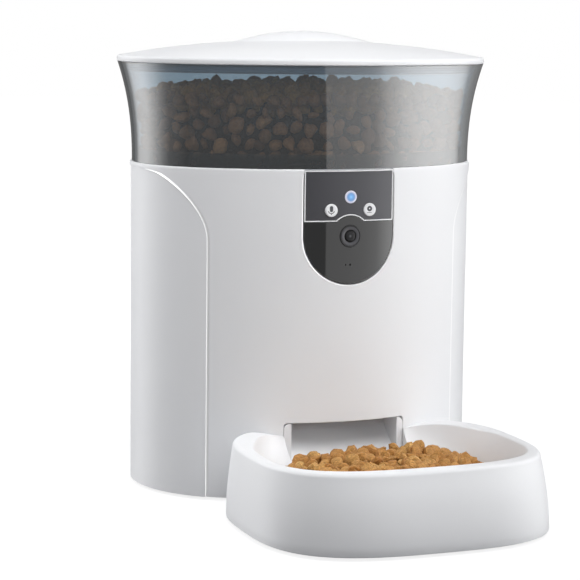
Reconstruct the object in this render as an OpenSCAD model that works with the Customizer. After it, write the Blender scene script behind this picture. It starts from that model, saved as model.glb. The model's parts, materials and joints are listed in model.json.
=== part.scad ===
// Automatic pet feeder: an oval body with a camera panel, a smoked hopper with a lid,
// a paddle rotor driven by a small gear train, a chute and a bowl that pulls forward.
// Millimetres, +Z up, the front faces -Y. Z = 0 is the floor.

/* [Body] */
// Width of the body, left to right
body_w = 230; // [222:1:244]
// Depth of the body, front to back
body_d = 172; // [166:1:184]
// Height of the body's top edge above the floor
body_h = 211; // [206:1:222]
// Thickness of the front and rear shells
wall = 2.6; // [2.2:0.1:3]
// How far the front shell stands proud of the rear shell
shell_step = 0.8; // [0.5:0.1:1.1]
// Distance of the shell seam from the middle line
seam_x = 85.6; // [80:0.2:88]
// Radius of the shoulder where the seam turns back under the collar
shoulder_r = 42; // [30:1:50]
// Height of the rubber feet under the body and the bowl
foot_h = 2; // [1.5:0.5:3]

/* [Hopper and lid] */
// Visible height of the hopper between the body and the lid
hopper_h = 64; // [54:1:84]
// How far the hopper spreads outwards on its way up
hopper_flare = 9.3; // [7:0.1:11]
// Thickness of the hopper's wall
hopper_wall = 3.5; // [3:0.1:4]
// Height of the lid's rounded edge
lid_rim = 4.5; // [4:0.1:6]
// Rise of the lid's dome above its edge
lid_rise = 9.8; // [8:0.2:14]
// Height of the grip above the dome
grip_h = 6; // [4:0.2:9]
// Length of the grip, left to right
grip_l = 92; // [70:1:110]
// Depth of the grip, front to back
grip_d = 46; // [36:1:60]

/* [Camera panel] */
// Width of the dark panel
panel_w = 60; // [56:1:66]
// Depth of the lens below the body's top edge
lens_drop = 42; // [41:1:47]
// Outer diameter of the lens ring
lens_d = 14; // [12:0.5:15]
// Height of the line between camera window and control panel above the lens
split_rise = 10; // [9.5:0.1:11]
// Diameter of the two push buttons
button_d = 8.2; // [7.4:0.1:9]
// Distance between the two push buttons
button_span = 25.8; // [24.5:0.1:29]
// Height of the buttons above the lens
button_rise = 16.4; // [16:0.1:17.5]
// Travel of the push buttons
button_press = 0.7; // [0.4:0.1:0.7]
// Diameter of the status light
light_d = 8; // [7:0.2:8.6]
// Height of the status light above the lens
light_rise = 24.6; // [24:0.1:25.5]

/* [Feeding] */
// Height of the rotor pocket's floor above the floor
pocket_z = 115; // [112:1:118]
// Inner radius of the rotor pocket
pocket_r = 50; // [48:0.5:52]
// Height of the paddles
paddle_h = 27; // [22:1:29]
// Clear width of the chute
chute_w = 72.4; // [66:0.4:76]
// Height of the chute opening's top edge
chute_top = 51; // [48:1:56]
// Module of the spur gears
gear_m = 1; // [0.9:0.05:1.05]

/* [Bowl] */
// Width of the bowl at its foot
bowl_w = 188; // [180:1:196]
// Distance from the body's axis to where the bowl's foot outline closes behind the body's front
bowl_back = 69; // [61:1:77]
// Height of the bowl's rim above the floor
bowl_h = 48; // [44:1:54]
// How far the bowl's front stands in front of the body's axis
bowl_reach = 231; // [226:1:240]
// Width of the rounded rim at the sides
rim_w = 8.5; // [7:0.1:10]

/* [Battery bay] */
// Diameter of a backup cell
cell_d = 34.2; // [33:0.1:34.6]
// Length of a backup cell
cell_l = 61.5; // [60:0.1:62]

/* [Hidden] */
$fn = 96;

// Clearances
seam_gap = 0.3;
slide_gap = 0.3;
run_gap = 0.05;
far = 600;

// The plan is an oval of four tangent arcs that meet along 3-4-5 directions.
half_w = body_w / 2;
half_d = body_d / 2;
arc_k = (half_w - half_d) / 2;
side_cx = 3 * arc_k;
front_cy = 4 * arc_k;
side_r = half_d - arc_k;
front_r = side_r + 5 * arc_k;
ring_n = 72;

// The frame's origin is the middle of the plan, so the body's axis sits behind it.
lid_over = 0.5;
body_lip = 1.4;
lid_g = hopper_flare - body_lip + lid_over;
axis_y = (bowl_reach - half_d - lid_g) / 2;

// Body heights
base_t = 3;
deck_z0 = foot_h + base_t;
collar_h = 2.6;
collar_z = body_h - collar_h;
collar_in = 6;
collar_round = 1;
collar_lip = 5;
seam_y = front_cy - sqrt(front_r * front_r - seam_x * seam_x);
shoulder_z = collar_z - shoulder_r - 0.9;
rear_in = shell_step + wall;

// Camera panel, all measured on the front arc
plate_t = 2;
pad_t = 4;
panel_r = panel_w / 2;
trim_t = 0.8;
arch_r = lens_d;
lens_z = body_h - lens_drop;
split_z = lens_z + split_rise;
light_z = lens_z + light_rise;
button_z = lens_z + button_rise;
button_x = button_span / 2;
button_r = button_d / 2;
panel_top = body_h;
board_t = 1.6;
board_edge = 5.5;
board_z0 = button_z - board_edge;
board_z1 = light_z + board_edge;
mic_drop = 18;
mic_r = 2.4;
mic_t = 2.15;
cam_board_w = 26;
cam_board_h = 22;
barrel_l = 6;
barrel_foot = 5;
switch_w = 6;
switch_t = 3;
knob_t = 0.8;
knob_r = 1.6;
stem_r = 1.8;
post_r = 2.2;
button_fit = 0.08;
flange_r = button_r + 1.1;
flange_y = front_cy - sqrt(pow(front_r - pad_t, 2) - pow(button_x + flange_r, 2)) + 0.2;
flange_t = 1;
stem_y = flange_y + flange_t + 0.3;
plunger_y = stem_y + button_press + 0.1;
board_y = plunger_y + switch_t;
cap_y = front_cy - sqrt(front_r * front_r - pow(button_x - button_r, 2)) - 0.5;

// Hopper and rotor
lid_seat = body_h + hopper_h;
pocket_t = 3;
pocket_wall = 3;
pocket_top = pocket_z + 37;
ledge_g = 20;
hub_r = 13;
boss_r = 9;
outlet_r0 = 19.5;
outlet_a = 27;
baffle_t = 2;
baffle_gap = 4;
baffle_z = pocket_z + baffle_gap + paddle_h;

// Gear train: output gear on the body's axis, idler behind it, pinion to the right of the idler
teeth_big = 36;
teeth_small = 12;
gear_pa = 25;
gear_backlash = 0.16;
gear_d = gear_m * (teeth_big + teeth_small) / 2;
tip_r = gear_m * (teeth_big / 2 + 0.9);
deck_drop = 19;
deck_t = 3;
tier2_h = 5.5;
tier1_h = 7;
tier_gap = 1.5;
deck_room = 2;
case_room = 4;
neck_r = 3.6;
deck_bot = pocket_z - deck_drop;
tier2_z = deck_bot - deck_room - tier2_h;
tier1_z = tier2_z - tier_gap - tier1_h;
case_z = tier1_z - case_room;
case_t = 2.5;
case_x0 = -tip_r - 3.5;
case_x1 = gear_d + gear_m * teeth_small / 2 + 10;
case_y0 = -tip_r - 2.5;
case_y1 = gear_d + tip_r + 4;
shaft_r = 4;
bush_r = 7;
bush_lip = 2;
bush_head = 1;
axle_r = 2;
nose_r = 3;
motor_r = 12.2;
motor_l = 29;
pin_r = 1;
pin_in = 12;

// Chute, as points of its side view
chute_h = chute_w / 2;
cheek_t = 4.5;
chute_y = -outlet_r0 + 2.5;
chute_lip = 24;
mouth_r = 3.7;
mouth_sill = 7;
chute_run = 44;
chute_step = 18;
chute_nose = 12;
chute_back = 9;
sheet = 2.5;

// Battery bay at the back, three cells side by side
cell_n = 3;
bay_w = cell_n * (cell_d + 0.8);
bay_l = cell_l + 4;
bay_t = 2;
bay_y1 = sqrt(pow(front_r - rear_in, 2) - pow(bay_w / 2 + bay_t, 2)) - front_cy - 1.2 - bay_t;
bay_y0 = bay_y1 - bay_l;
bay_top = deck_z0 + cell_d + 3;
door_lip = 3;
contact_w = 14;
contact_t = 0.6;
contact_rise = 1;
coil_r = 5;
coil_h = 2.2;

// Bowl
bowl_l = bowl_reach - bowl_back;
bowl_y = -bowl_reach + bowl_l / 2;
bowl_gap = 0.6;
rim_y = bowl_y + 4;
rim_a = bowl_w / 2 - 5.5;
rim_b = bowl_l / 2 - 6;
floor_z = foot_h + 12;

// Speaker on the rear wall
speaker_r = 20;
speaker_front = 9;
speaker_rim = 4;
grille_r = 1.5;
grille_in = 7;
grille_out = 13;
cup_t = 2;
cup_l = 6;
magnet_l = 9;
speaker_z = pocket_z + 11;
speaker_y = half_d - shell_step - wall - speaker_front;

// Places of feet and screws, kept to the oval's own centres
foot_pts = [for (sx = [-1, 1]) [sx * (side_cx + 0.69 * (side_r - 18)), -0.724 * (side_r - 18)],
            for (sx = [-1, 1]) [sx * 0.5 * (front_r - 14), 0.866 * (front_r - 14) - front_cy]];
screw_pts = [for (sx = [-1, 1]) [sx * (side_cx + 0.95 * (side_r - 13.5)), 0.312 * (side_r - 13.5)],
             for (sx = [-1, 1]) [sx * 0.4 * (front_r - 10.5), front_cy - 0.9165 * (front_r - 10.5)]];
boss_h = 34;
boss_w = 4;
foot_r = 8;
peg_r = 3;
screw_r = 1.25;
screw_bite = 10;
head_r = 3;
head_h = 1.6;
deck_screw_r = 1;
deck_head_r = 2.2;
deck_head_h = 1.4;
deck_bite = 6;

white = [0.93, 0.93, 0.94];
black = [0.1, 0.1, 0.11];
green = [0.05, 0.32, 0.16];
steel = [0.74, 0.75, 0.77];

// Moves body coordinates to the frame's origin
module part() {
  translate([0, axis_y, 0]) children();
}

// Extrudes a (Y, Z) outline both ways along X
module sideways(half) {
  rotate([90, 0, 90]) linear_extrude(height = 2 * half, center = true) children();
}

// Extrudes an (X, Z) outline from y0 to y1
module frontal(y0, y1) {
  translate([0, y1, 0]) rotate([90, 0, 0]) linear_extrude(height = y1 - y0) children();
}

// A round bar along Y
module bar(x, z, r, y0, y1) {
  translate([x, y0, z]) rotate([-90, 0, 0]) cylinder(r = r, h = y1 - y0);
}

// Point of the oval, grown by g, where its outward normal points at angle a
function oval_pt(a, g) =
  let (n = [cos(a), sin(a)])
  abs(n[1]) > 0.8
    ? [0, -sign(n[1]) * front_cy] + (front_r + g) * n
    : [sign(n[0]) * side_cx, 0] + (side_r + g) * n;

function oval_ring(g, z, t = 1) =
  [for (i = [0 : ring_n - 1]) let (p = oval_pt(360 * i / ring_n, g)) [t * p[0], t * p[1], z]];

function round_ring(r, z) =
  [for (i = [0 : ring_n - 1]) [r * cos(360 * i / ring_n), r * sin(360 * i / ring_n), z]];

function ellipse_ring(a, b, z) =
  [for (i = [0 : ring_n - 1]) [a * cos(360 * i / ring_n), b * sin(360 * i / ring_n), z]];

// Rounded outline between an ellipse and a rectangle
function bowl_ring(a, b, y, z) =
  [for (i = [0 : ring_n - 1])
    let (c = cos(360 * i / ring_n), s = sin(360 * i / ring_n))
    [a * sign(c) * pow(abs(c), 2 / 3), y + b * sign(s) * pow(abs(s), 2 / 3), z]];

// Skin through rings that run from the underside, round the outside, to the top
module loft(rings) {
  n = ring_n;
  m = len(rings);
  points = [for (r = rings) for (p = r) p];
  sides = [for (k = [0 : m - 2]) for (i = [0 : n - 1])
    let (j = (i + 1) % n, b = k * n, t = (k + 1) * n)
    each [[b + i, t + i, t + j], [b + i, t + j, b + j]]];
  low = [for (i = [1 : n - 2]) [0, i, i + 1]];
  high = [for (i = [1 : n - 2]) [(m - 1) * n, (m - 1) * n + i + 1, (m - 1) * n + i]];
  polyhedron(points = points, faces = concat(low, sides, high));
}

// Plan outline of the body, grown by g
module oval(g) {
  reach = 3 * half_w;
  for (s = [-1, 1]) {
    intersection() {
      translate([0, -s * front_cy]) circle(r = front_r + g);
      polygon([[0, -s * front_cy],
               [0.6 * reach, s * (0.8 * reach - front_cy)],
               [-0.6 * reach, s * (0.8 * reach - front_cy)]]);
    }
    intersection() {
      translate([s * side_cx, 0]) circle(r = side_r + g);
      polygon([[s * side_cx, 0],
               [s * (side_cx + 0.6 * reach), 0.8 * reach],
               [s * (side_cx + 0.6 * reach), -0.8 * reach]]);
    }
  }
}

// Oval ring between two heights
module oval_band(outer, inner, z0, z1) {
  translate([0, 0, z0]) linear_extrude(height = z1 - z0) difference() {
    oval(outer);
    oval(inner);
  }
}

// Side view of the front shell, grown by e
module front_zone(e) {
  sideways(half_w + 20) {
    translate([-2 * half_d, -1]) square([2 * half_d + seam_y + e, collar_z + 2]);
    difference() {
      translate([seam_y - 5, shoulder_z]) square([shoulder_r + 5 + e, collar_z + 1 - shoulder_z]);
      translate([seam_y + shoulder_r, shoulder_z]) circle(r = shoulder_r - e);
    }
  }
}

// Cylindrical slab on the front arc, cut to an (X, Z) outline
module front_slab(inner, outer) {
  intersection() {
    translate([0, front_cy, 0]) difference() {
      cylinder(r = outer, h = body_h + 10);
      translate([0, 0, -1]) cylinder(r = inner, h = body_h + 12);
    }
    frontal(-half_d - 10, -half_d + 30) children();
  }
}

// Outline of the dark panel, grown by e
module panel_outline(e, top) {
  translate([0, lens_z]) circle(r = panel_r + e);
  translate([-panel_r - e, lens_z]) square([2 * (panel_r + e), top - lens_z]);
}

// Control panel outline: above the line, outside the arch, set in by e
module head_outline(e, top) {
  difference() {
    translate([-panel_r + e, split_z + e]) square([2 * (panel_r - e), top - split_z - e]);
    translate([0, lens_z]) circle(r = arch_r + e);
  }
}

// Outline of the chute's mouth, with rounded upper corners, grown by e
module chute_mouth(e) {
  w = chute_h + cheek_t + e;
  top = chute_top - slide_gap + e;
  z0 = deck_z0 + mouth_sill;
  r = mouth_r + e;
  translate([-w, z0]) square([2 * w, top - r - z0]);
  translate([-w + r, z0]) square([2 * (w - r), top - z0]);
  for (sx = [-1, 1]) translate([sx * (w - r), top - r]) circle(r = r);
}

// Involute spur gear outline with a tooth centred on +X
function inv_deg(a) = tan(a) * 180 / PI - a;

module gear_outline(n) {
  rp = gear_m * n / 2;
  rb = rp * cos(gear_pa);
  ra = rp + 0.9 * gear_m;
  rr = rp - 1.2 * gear_m;
  r0 = max(rb, rr);
  half_p = 90 / n - gear_backlash / 2 / rp * 180 / PI;
  steps = 4;
  rk = [for (k = [0 : steps]) r0 + (ra - r0) * k / steps];
  hk = [for (r = rk) half_p + inv_deg(gear_pa) - inv_deg(acos(min(1, rb / r)))];
  polygon([for (i = [0 : n - 1])
    let (c = 360 * i / n)
    each concat(
      [rr * [cos(c - hk[0]), sin(c - hk[0])]],
      [for (k = [0 : steps]) if (rk[k] > rr) rk[k] * [cos(c - hk[k]), sin(c - hk[k])]],
      [for (k = [steps : -1 : 0]) if (rk[k] > rr) rk[k] * [cos(c + hk[k]), sin(c + hk[k])]],
      [rr * [cos(c + hk[0]), sin(c + hk[0])]])]);
}

// Pie slice from the axis, centred on the front
module front_sector(a, r) {
  polygon([[0, 0], [r * sin(-a), -r * cos(a)], [0, -r * 1.2], [r * sin(a), -r * cos(a)]]);
}

// Hopper wall, outside and inside, as growth of the oval at height z
function hop_t(z) = max(0, (z - body_h) / hopper_h);
function hop_out(z) = hopper_flare * pow(hop_t(z), 2.3) - body_lip;
function hop_in(z) = hop_out(z) - hopper_wall - pow(hop_t(z), 2);

// Dome of the lid over the fraction t of its half width
lid_top = lid_seat + lid_rim + lid_rise;
function dome(t) = lid_top - (lid_rise + 1.2) * pow(t, 2.2);

module screw_at(p, z0, z1, r, head_r, head_h) {
  translate([p[0], p[1], z0]) cylinder(r = head_r, h = head_h);
  translate([p[0], p[1], z0 + head_h]) cylinder(r = r, h = z1 - z0 - head_h);
}

// Screw column that stands on the base cover
module boss(p) {
  translate([p[0], p[1], deck_z0]) cylinder(r = boss_w, h = boss_h);
}

module boss_bore(p) {
  translate([p[0], p[1], deck_z0 - 1]) cylinder(r = screw_r + 0.05, h = screw_bite + 4);
}

module front_shell() {
  color(white) part() difference() {
    union() {
      intersection() {
        oval_band(0, -wall, foot_h, collar_z);
        front_zone(0);
      }
      // Thicker pad that carries the panel and its boards
      front_slab(front_r - pad_t, front_r - wall / 2) intersection() {
        panel_outline(3, collar_z);
        translate([-far / 2, 0]) square([far, collar_z]);
      }
      // Posts for the button board
      for (sx = [-1, 1])
        difference() {
          bar(sx * (panel_r - board_edge - 2 * post_r), board_z0 + 3, post_r, -half_d + 1, board_y);
          translate([0, front_cy, 0]) difference() {
            cylinder(r = 2 * front_r, h = body_h);
            translate([0, 0, -1]) cylinder(r = front_r - wall, h = body_h + 2);
          }
        }
      // Screw columns with a web to the wall
      for (p = [screw_pts[2], screw_pts[3]]) {
        boss(p);
        intersection() {
          oval_band(-wall / 2, -14, deck_z0, deck_z0 + boss_h);
          translate([p[0] - 1, -half_d - 10, 0]) cube([2, half_d + 10 + p[1], 80]);
        }
      }
    }
    for (p = [screw_pts[2], screw_pts[3]]) boss_bore(p);
    // Seat of the panel, open at the top
    front_slab(front_r - plate_t, front_r + 5) panel_outline(0.1, panel_top + 1);
    // Way through for lens, light, buttons and microphone
    bar(0, lens_z, lens_d / 2 - 0.6, -half_d - 5, -half_d + 20);
    bar(0, light_z, light_d / 2 - 0.8, -half_d - 5, -half_d + 20);
    bar(0, lens_z - mic_drop, 1, -half_d - 5, -half_d + 20);
    for (sx = [-1, 1]) bar(sx * button_x, button_z, button_r + button_fit, -half_d - 5, -half_d + 20);
    // Chute opening with rounded upper corners
    frontal(-half_d - 5, -half_d + 30) chute_mouth(slide_gap);
  }
}

// One of the speaker's holes, at radius r and angle a
module grille_hole(r, a) {
  bar(r * cos(a), speaker_z + r * sin(a), grille_r, speaker_y, half_d + 10);
}

module rear_shell() {
  color(white) part() difference() {
    union() {
      difference() {
        oval_band(-shell_step, -rear_in, foot_h, collar_z);
        front_zone(seam_gap);
      }
      // Cup for the speaker
      difference() {
        bar(0, speaker_z, speaker_r + 0.2 + cup_t, speaker_y - cup_l, half_d);
        bar(0, speaker_z, speaker_r + 0.2, speaker_y - cup_l - 1, half_d);
        translate([0, -front_cy, 0]) difference() {
          cylinder(r = 2 * front_r, h = body_h);
          translate([0, 0, -1]) cylinder(r = front_r - shell_step - wall / 2, h = body_h + 2);
        }
      }
      for (p = [screw_pts[0], screw_pts[1]]) {
        boss(p);
        intersection() {
          oval_band(-shell_step - wall / 2, -20, deck_z0, deck_z0 + boss_h);
          translate([p[0] > 0 ? p[0] : p[0] - 40, p[1] - 1, 0]) cube([40, 2, 80]);
        }
      }
    }
    for (p = [screw_pts[0], screw_pts[1]]) boss_bore(p);
    // Speaker holes in two circles round one in the middle
    grille_hole(0, 0);
    for (i = [0 : 7]) grille_hole(grille_in, 45 * i);
    for (i = [0 : 11]) grille_hole(grille_out, 30 * i);
    // Power inlet
    bar(jack_x, jack_z, jack_bore + 1.2, jack_y, half_d + 10);
  }
}

module top_collar() {
  color(white) part() difference() {
    union() {
      oval_band(0, -collar_in, collar_z, body_h - collar_round);
      oval_band(-0.4 * collar_round, -collar_in, body_h - collar_round, body_h);
      oval_band(-rear_in - seam_gap, -collar_in, collar_z - collar_lip, collar_z);
    }
    // Room for the panel's upper edge and its pad
    front_slab(front_r - pad_t - seam_gap, front_r + 5) translate([-panel_r - 4, collar_z - 8])
      square([2 * panel_r + 8, 8]);
    front_slab(front_r - plate_t - 0.1, front_r + 5) panel_outline(0.1, panel_top + 1);
  }
}

module base_cover() {
  color([0.86, 0.86, 0.87]) part() difference() {
    union() {
      translate([0, 0, foot_h]) linear_extrude(height = base_t) oval(-rear_in - 0.4);
      // Grooved rails for the main board
      for (s = [-1, 1]) translate([board_x - rail_w / 2, s * (mb_l / 2 + 0.9) - rail_w / 2, deck_z0])
        cube([rail_w + board_t, rail_w, mb_h * 0.6]);
      // Saddle for the power inlet
      translate([jack_x - jack_w / 2 - 1, jack_y - jack_l - 1, deck_z0])
        cube([jack_w + 2, jack_l + 1, jack_z - jack_h / 2 - deck_z0]);
    }
    translate([board_x, -mb_l / 2 - 0.1, deck_z0 + groove_d]) cube([board_t + 0.1, mb_l + 0.2, far]);
    // Way in to the battery bay, and the door's track
    translate([-bay_w / 2, bay_y0, foot_h - 1]) cube([bay_w, bay_l, base_t + 2]);
    translate([-door_w / 2 - slide_gap, door_y0 - slide_gap, foot_h - 1])
      cube([door_w + 2 * slide_gap, door_l + door_slide + 2 * slide_gap, door_t + slide_gap + 1]);
    for (p = foot_pts) translate([p[0], p[1], 0]) cylinder(r = peg_r + run_gap, h = 20);
    for (p = screw_pts) {
      translate([p[0], p[1], foot_h - 1]) cylinder(r = screw_r + 0.6, h = base_t + 2);
      translate([p[0], p[1], foot_h - 1]) cylinder(r = head_r + 0.4, h = head_h + 0.8);
    }
  }
}

module rubber_feet() {
  color([0.2, 0.2, 0.21]) part() for (p = foot_pts) translate([p[0], p[1], 0]) {
    cylinder(r = foot_r, h = foot_h);
    cylinder(r = peg_r, h = deck_z0 - 0.2);
  }
}

module base_screws() {
  color(steel) part() for (p = screw_pts) 
    screw_at(p, foot_h - 0.2, deck_z0 + screw_bite, screw_r, head_r, head_h);
}

// Sizes of the inlet, board and door, placed against the shells
jack_w = 12;
jack_h = 11;
jack_l = 11;
jack_bore = 3.2;
jack_pin = 1;
jack_x = bay_w / 2 + bay_t + jack_w - 1;
jack_z = deck_z0 + jack_h;
jack_y = sqrt(pow(front_r - rear_in, 2) - pow(jack_x + jack_w / 2, 2)) - front_cy - 0.3;
board_x = -side_cx - 0.5 * (side_r - rear_in);
mb_l = 70;
mb_h = 64;
groove_d = 2;
rail_w = 6;
chip_w = 18;
chip_t = 2;
radio_w = 12;
radio_h = 14;
radio_t = 3;
plug_w = 20;
plug_h = 8;
plug_t = 7;
can_r = 3.2;
can_h = 11;
can_step = 8;
door_w = bay_w + 8;
door_y0 = bay_y0 - door_lip;
door_l = bay_l - 3;
door_t = 1.8;
door_slide = 5;

module camera_window() {
  color(black) part() difference() {
    front_slab(front_r - plate_t, front_r - 0.1) difference() {
      panel_outline(0, panel_top - 2);
      head_outline(-0.05, panel_top + 5);
    }
    bar(0, lens_z, lens_d / 2 + 0.05, -half_d - 5, -half_d + 20);
    for (x = [0, -3]) bar(x, lens_z - mic_drop, 0.75, -half_d - 5, -half_d + 20);
  }
}

module control_panel() {
  color([0.22, 0.22, 0.23]) part() difference() {
    front_slab(front_r - plate_t, front_r - 0.1) head_outline(trim_t, panel_top - trim_t);
    bar(0, light_z, light_d / 2 + 0.05, -half_d - 5, -half_d + 20);
    for (sx = [-1, 1]) bar(sx * button_x, button_z, button_r + button_fit, -half_d - 5, -half_d + 20);
  }
}

module panel_trim() {
  color([0.82, 0.82, 0.84]) part()
    front_slab(front_r - plate_t, front_r) difference() {
      head_outline(0.05, panel_top);
      head_outline(trim_t - 0.02, panel_top - trim_t + 0.02);
    }
}

module status_light() {
  color([0.35, 0.62, 0.95]) part() {
    bar(0, light_z, light_d / 2, -half_d, -half_d + plate_t);
    bar(0, light_z, light_d / 2 - 0.9, -half_d + plate_t, -half_d + pad_t + 2);
  }
}

module lens_ring() {
  color([0.16, 0.16, 0.17]) part() difference() {
    union() {
      bar(0, lens_z, lens_d / 2, -half_d - 0.3, -half_d + plate_t);
      bar(0, lens_z, lens_d / 2 - 0.65, -half_d + plate_t, -half_d + pad_t);
    }
    bar(0, lens_z, lens_d * 0.27, -half_d - 5, -half_d + 1.6);
    bar(0, lens_z, lens_d * 0.21, -half_d - 5, -half_d + 20);
  }
}

module lens_glass() {
  color([0.05, 0.06, 0.09]) part() bar(0, lens_z, lens_d * 0.27 - 0.03, -half_d + 0.3, -half_d + 1.6);
}

module camera_barrel() {
  color(black) part() difference() {
    union() {
      bar(0, lens_z, lens_d / 2 - 0.65, -half_d + pad_t, -half_d + pad_t + barrel_l);
      translate([-lens_d / 2, -half_d + pad_t + barrel_l, lens_z - lens_d / 2])
        cube([lens_d, barrel_foot, lens_d]);
    }
    bar(0, lens_z, lens_d * 0.21, -half_d, -half_d + pad_t + barrel_l + 2);
  }
}

module camera_board() {
  y = -half_d + pad_t + barrel_l + barrel_foot;
  color(green) part() translate([-cam_board_w / 2, y, lens_z - cam_board_h / 2])
    cube([cam_board_w, board_t, cam_board_h]);
}

module microphone() {
  y = -half_d + pad_t + 0.05;
  color(steel) part() bar(0, lens_z - mic_drop, mic_r, y, y + mic_t);
}

module panel_board() {
  color(green) part() translate([-panel_r + board_edge, board_y, board_z0])
    cube([2 * (panel_r - board_edge), board_t, board_z1 - board_z0]);
}

module tact_switches() {
  color(black) part() for (sx = [-1, 1]) {
    translate([sx * button_x - switch_w / 2, plunger_y + knob_t, button_z - switch_w / 2])
      cube([switch_w, board_y - plunger_y - knob_t, switch_w]);
    bar(sx * button_x, button_z, knob_r, plunger_y, plunger_y + knob_t);
  }
}

module push_button(sx) {
  bar(sx * button_x, button_z, button_r, cap_y, flange_y + flange_t / 2);
  bar(sx * button_x, button_z, flange_r, flange_y, flange_y + flange_t);
  bar(sx * button_x, button_z, stem_r, flange_y + flange_t / 2, stem_y);
}

module record_button() {
  color([0.95, 0.95, 0.95]) part() push_button(-1);
}

module feed_button() {
  color([0.95, 0.95, 0.95]) part() push_button(1);
}

// Side view of the chute's way through
module chute_way() {
  y0 = chute_y;
  y1 = chute_y - chute_run;
  polygon([[y0, pocket_z], [y0, pocket_z - 8], [y1, chute_lip + chute_step], [-half_d, chute_lip - 2],
           [-half_d - chute_nose, chute_lip - 6], [-half_d - chute_nose, chute_top + 0.1],
           [-half_d + chute_back, chute_top + 0.1],
           [-pocket_r - 2, pocket_z - 11], [-pocket_r - 2, pocket_z]]);
}

// Side view of the chute's outside, legs included
module chute_side() {
  y0 = chute_y + sheet;
  y1 = chute_y - chute_run + sheet + 0.3;
  y2 = -half_d + chute_back;
  y3 = -pocket_r - 2 - sheet;
  polygon([[y0, pocket_z - 5], [y0, pocket_z - 8.6], [y1, chute_lip + chute_step - 1.4],
           [y1, deck_z0], [y2 + 3, deck_z0],
           [y2, chute_lip - 9], [-half_d - chute_nose, chute_lip - 9],
           [-half_d - chute_nose, chute_top - 0.4], [y2 - 3, chute_top - 0.4],
           [y2 - 3, chute_top + sheet], [y2 - sheet, chute_top + sheet],
           [y3, pocket_z - 10.4], [y3, pocket_z - 5]]);
}

module chute() {
  color([0.9, 0.9, 0.91]) part() difference() {
    union() {
      intersection() {
        sideways(chute_h + cheek_t) chute_side();
        translate([0, front_cy, 0]) cylinder(r = front_r - wall - 0.3, h = 2 * body_h);
      }
      intersection() {
        sideways(chute_h + cheek_t) intersection() {
          chute_side();
          translate([-2 * half_d, chute_lip - 9]) square([half_d * 2, chute_top - 0.4 - chute_lip + 9]);
        }
        translate([0, front_cy, 0]) cylinder(r = front_r - 0.1, h = 2 * body_h);
        frontal(-half_d - 20, -half_d + 40) chute_mouth(0);
      }
    }
    sideways(chute_h) chute_way();
    // The space between the two legs
    intersection() {
      y0 = -half_d + chute_back + 0.2;
      y1 = chute_y - chute_run;
      z1 = chute_lip + chute_step - 5;
      translate([-chute_h, y0, 0]) cube([2 * chute_h, half_d, chute_lip + chute_step - 8]);
      sideways(chute_h) polygon([[y0, 0], [y0, chute_lip - 10], [y1, z1], [y1 + 14, z1], [y1 + 14, 0]]);
    }
  }
}

module gearbox_case() {
  color([0.82, 0.82, 0.8]) part() difference() {
    union() {
      translate([case_x0, case_y0, case_z]) cube([case_x1 - case_x0, case_y1 - case_y0, deck_bot - case_z]);
      for (p = leg_pts) translate([p[0], p[1], bay_top]) cylinder(r = 3.5, h = case_z - bay_top + 1);
    }
    translate([case_x0 + 2, case_y0 + 2, case_z + case_t])
      cube([case_x1 - case_x0 - 4, case_y1 - case_y0 - 4, far]);
    // The front wall is cut down to clear the chute
    translate([case_x0 - 1, case_y0 - 1, deck_bot - 5]) cube([case_x1 - case_x0 + 2, 4, 20]);
    translate([0, 0, case_z - 1]) cylinder(r = shaft_r + run_gap, h = case_t + 2);
    translate([0, gear_d, case_z - 1]) cylinder(r = axle_r + 0.02, h = case_t + 2);
    translate([gear_d, gear_d, case_z - 1]) cylinder(r = nose_r + run_gap, h = case_t + 2);
  }
  // Corner columns that the deck's screws go into
  color([0.82, 0.82, 0.8]) part() for (p = column_pts) difference() {
    translate([p[0], p[1], case_z + 1]) cylinder(r = deck_screw_r + 1.6, h = deck_bot - case_z - 1);
    translate([p[0], p[1], deck_bot - deck_bite - 2]) cylinder(r = deck_screw_r + 0.05, h = 20);
  }
}

leg_pts = [[case_x0 + 4, bay_y0 + 4], [case_x0 + 4, case_y1 - 5],
           [case_x1 - 4, case_y1 - 5], [case_x1 - 4, bay_y0 + 4]];
column_pts = [[case_x0 + 4, case_y0 + 7], [case_x0 + 4, case_y1 - 4.4],
              [case_x1 - 4.4, case_y1 - 4.4], [case_x1 - 4.4, case_y0 + 7]];

module gearbox_deck() {
  color([0.82, 0.82, 0.8]) part() difference() {
    translate([case_x0, case_y0 + 4, deck_bot]) cube([case_x1 - case_x0, case_y1 - case_y0 - 4, deck_t]);
    translate([0, 0, deck_bot - 1]) cylinder(r = bush_r + 0.02, h = deck_t + 2);
    translate([0, gear_d, deck_bot - 1]) cylinder(r = axle_r + 0.02, h = deck_t + 2);
    translate([gear_d, gear_d, deck_bot - 1]) cylinder(r = 2, h = deck_t + 2);
    for (p = column_pts) translate([p[0], p[1], deck_bot - 1])
      cylinder(r = deck_screw_r + 0.3, h = deck_t + 2);
  }
}

module deck_screws() {
  color(steel) part() for (p = column_pts) {
    translate([p[0], p[1], deck_bot + deck_t]) cylinder(r = deck_head_r, h = deck_head_h);
    translate([p[0], p[1], deck_bot - deck_bite]) cylinder(r = deck_screw_r, h = deck_t + deck_bite + 0.2);
  }
}

module shaft_bush() {
  color([0.72, 0.55, 0.3]) part() difference() {
    union() {
      translate([0, 0, deck_bot]) cylinder(r = bush_r, h = deck_t);
      translate([0, 0, deck_bot + deck_t]) cylinder(r = bush_r + bush_lip, h = bush_head);
    }
    translate([0, 0, deck_bot - 1]) cylinder(r = shaft_r + run_gap, h = deck_t + 4);
  }
}

module idler_axle() {
  color(steel) part() translate([0, gear_d, case_z]) cylinder(r = axle_r, h = deck_bot + deck_t - case_z);
}

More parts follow.
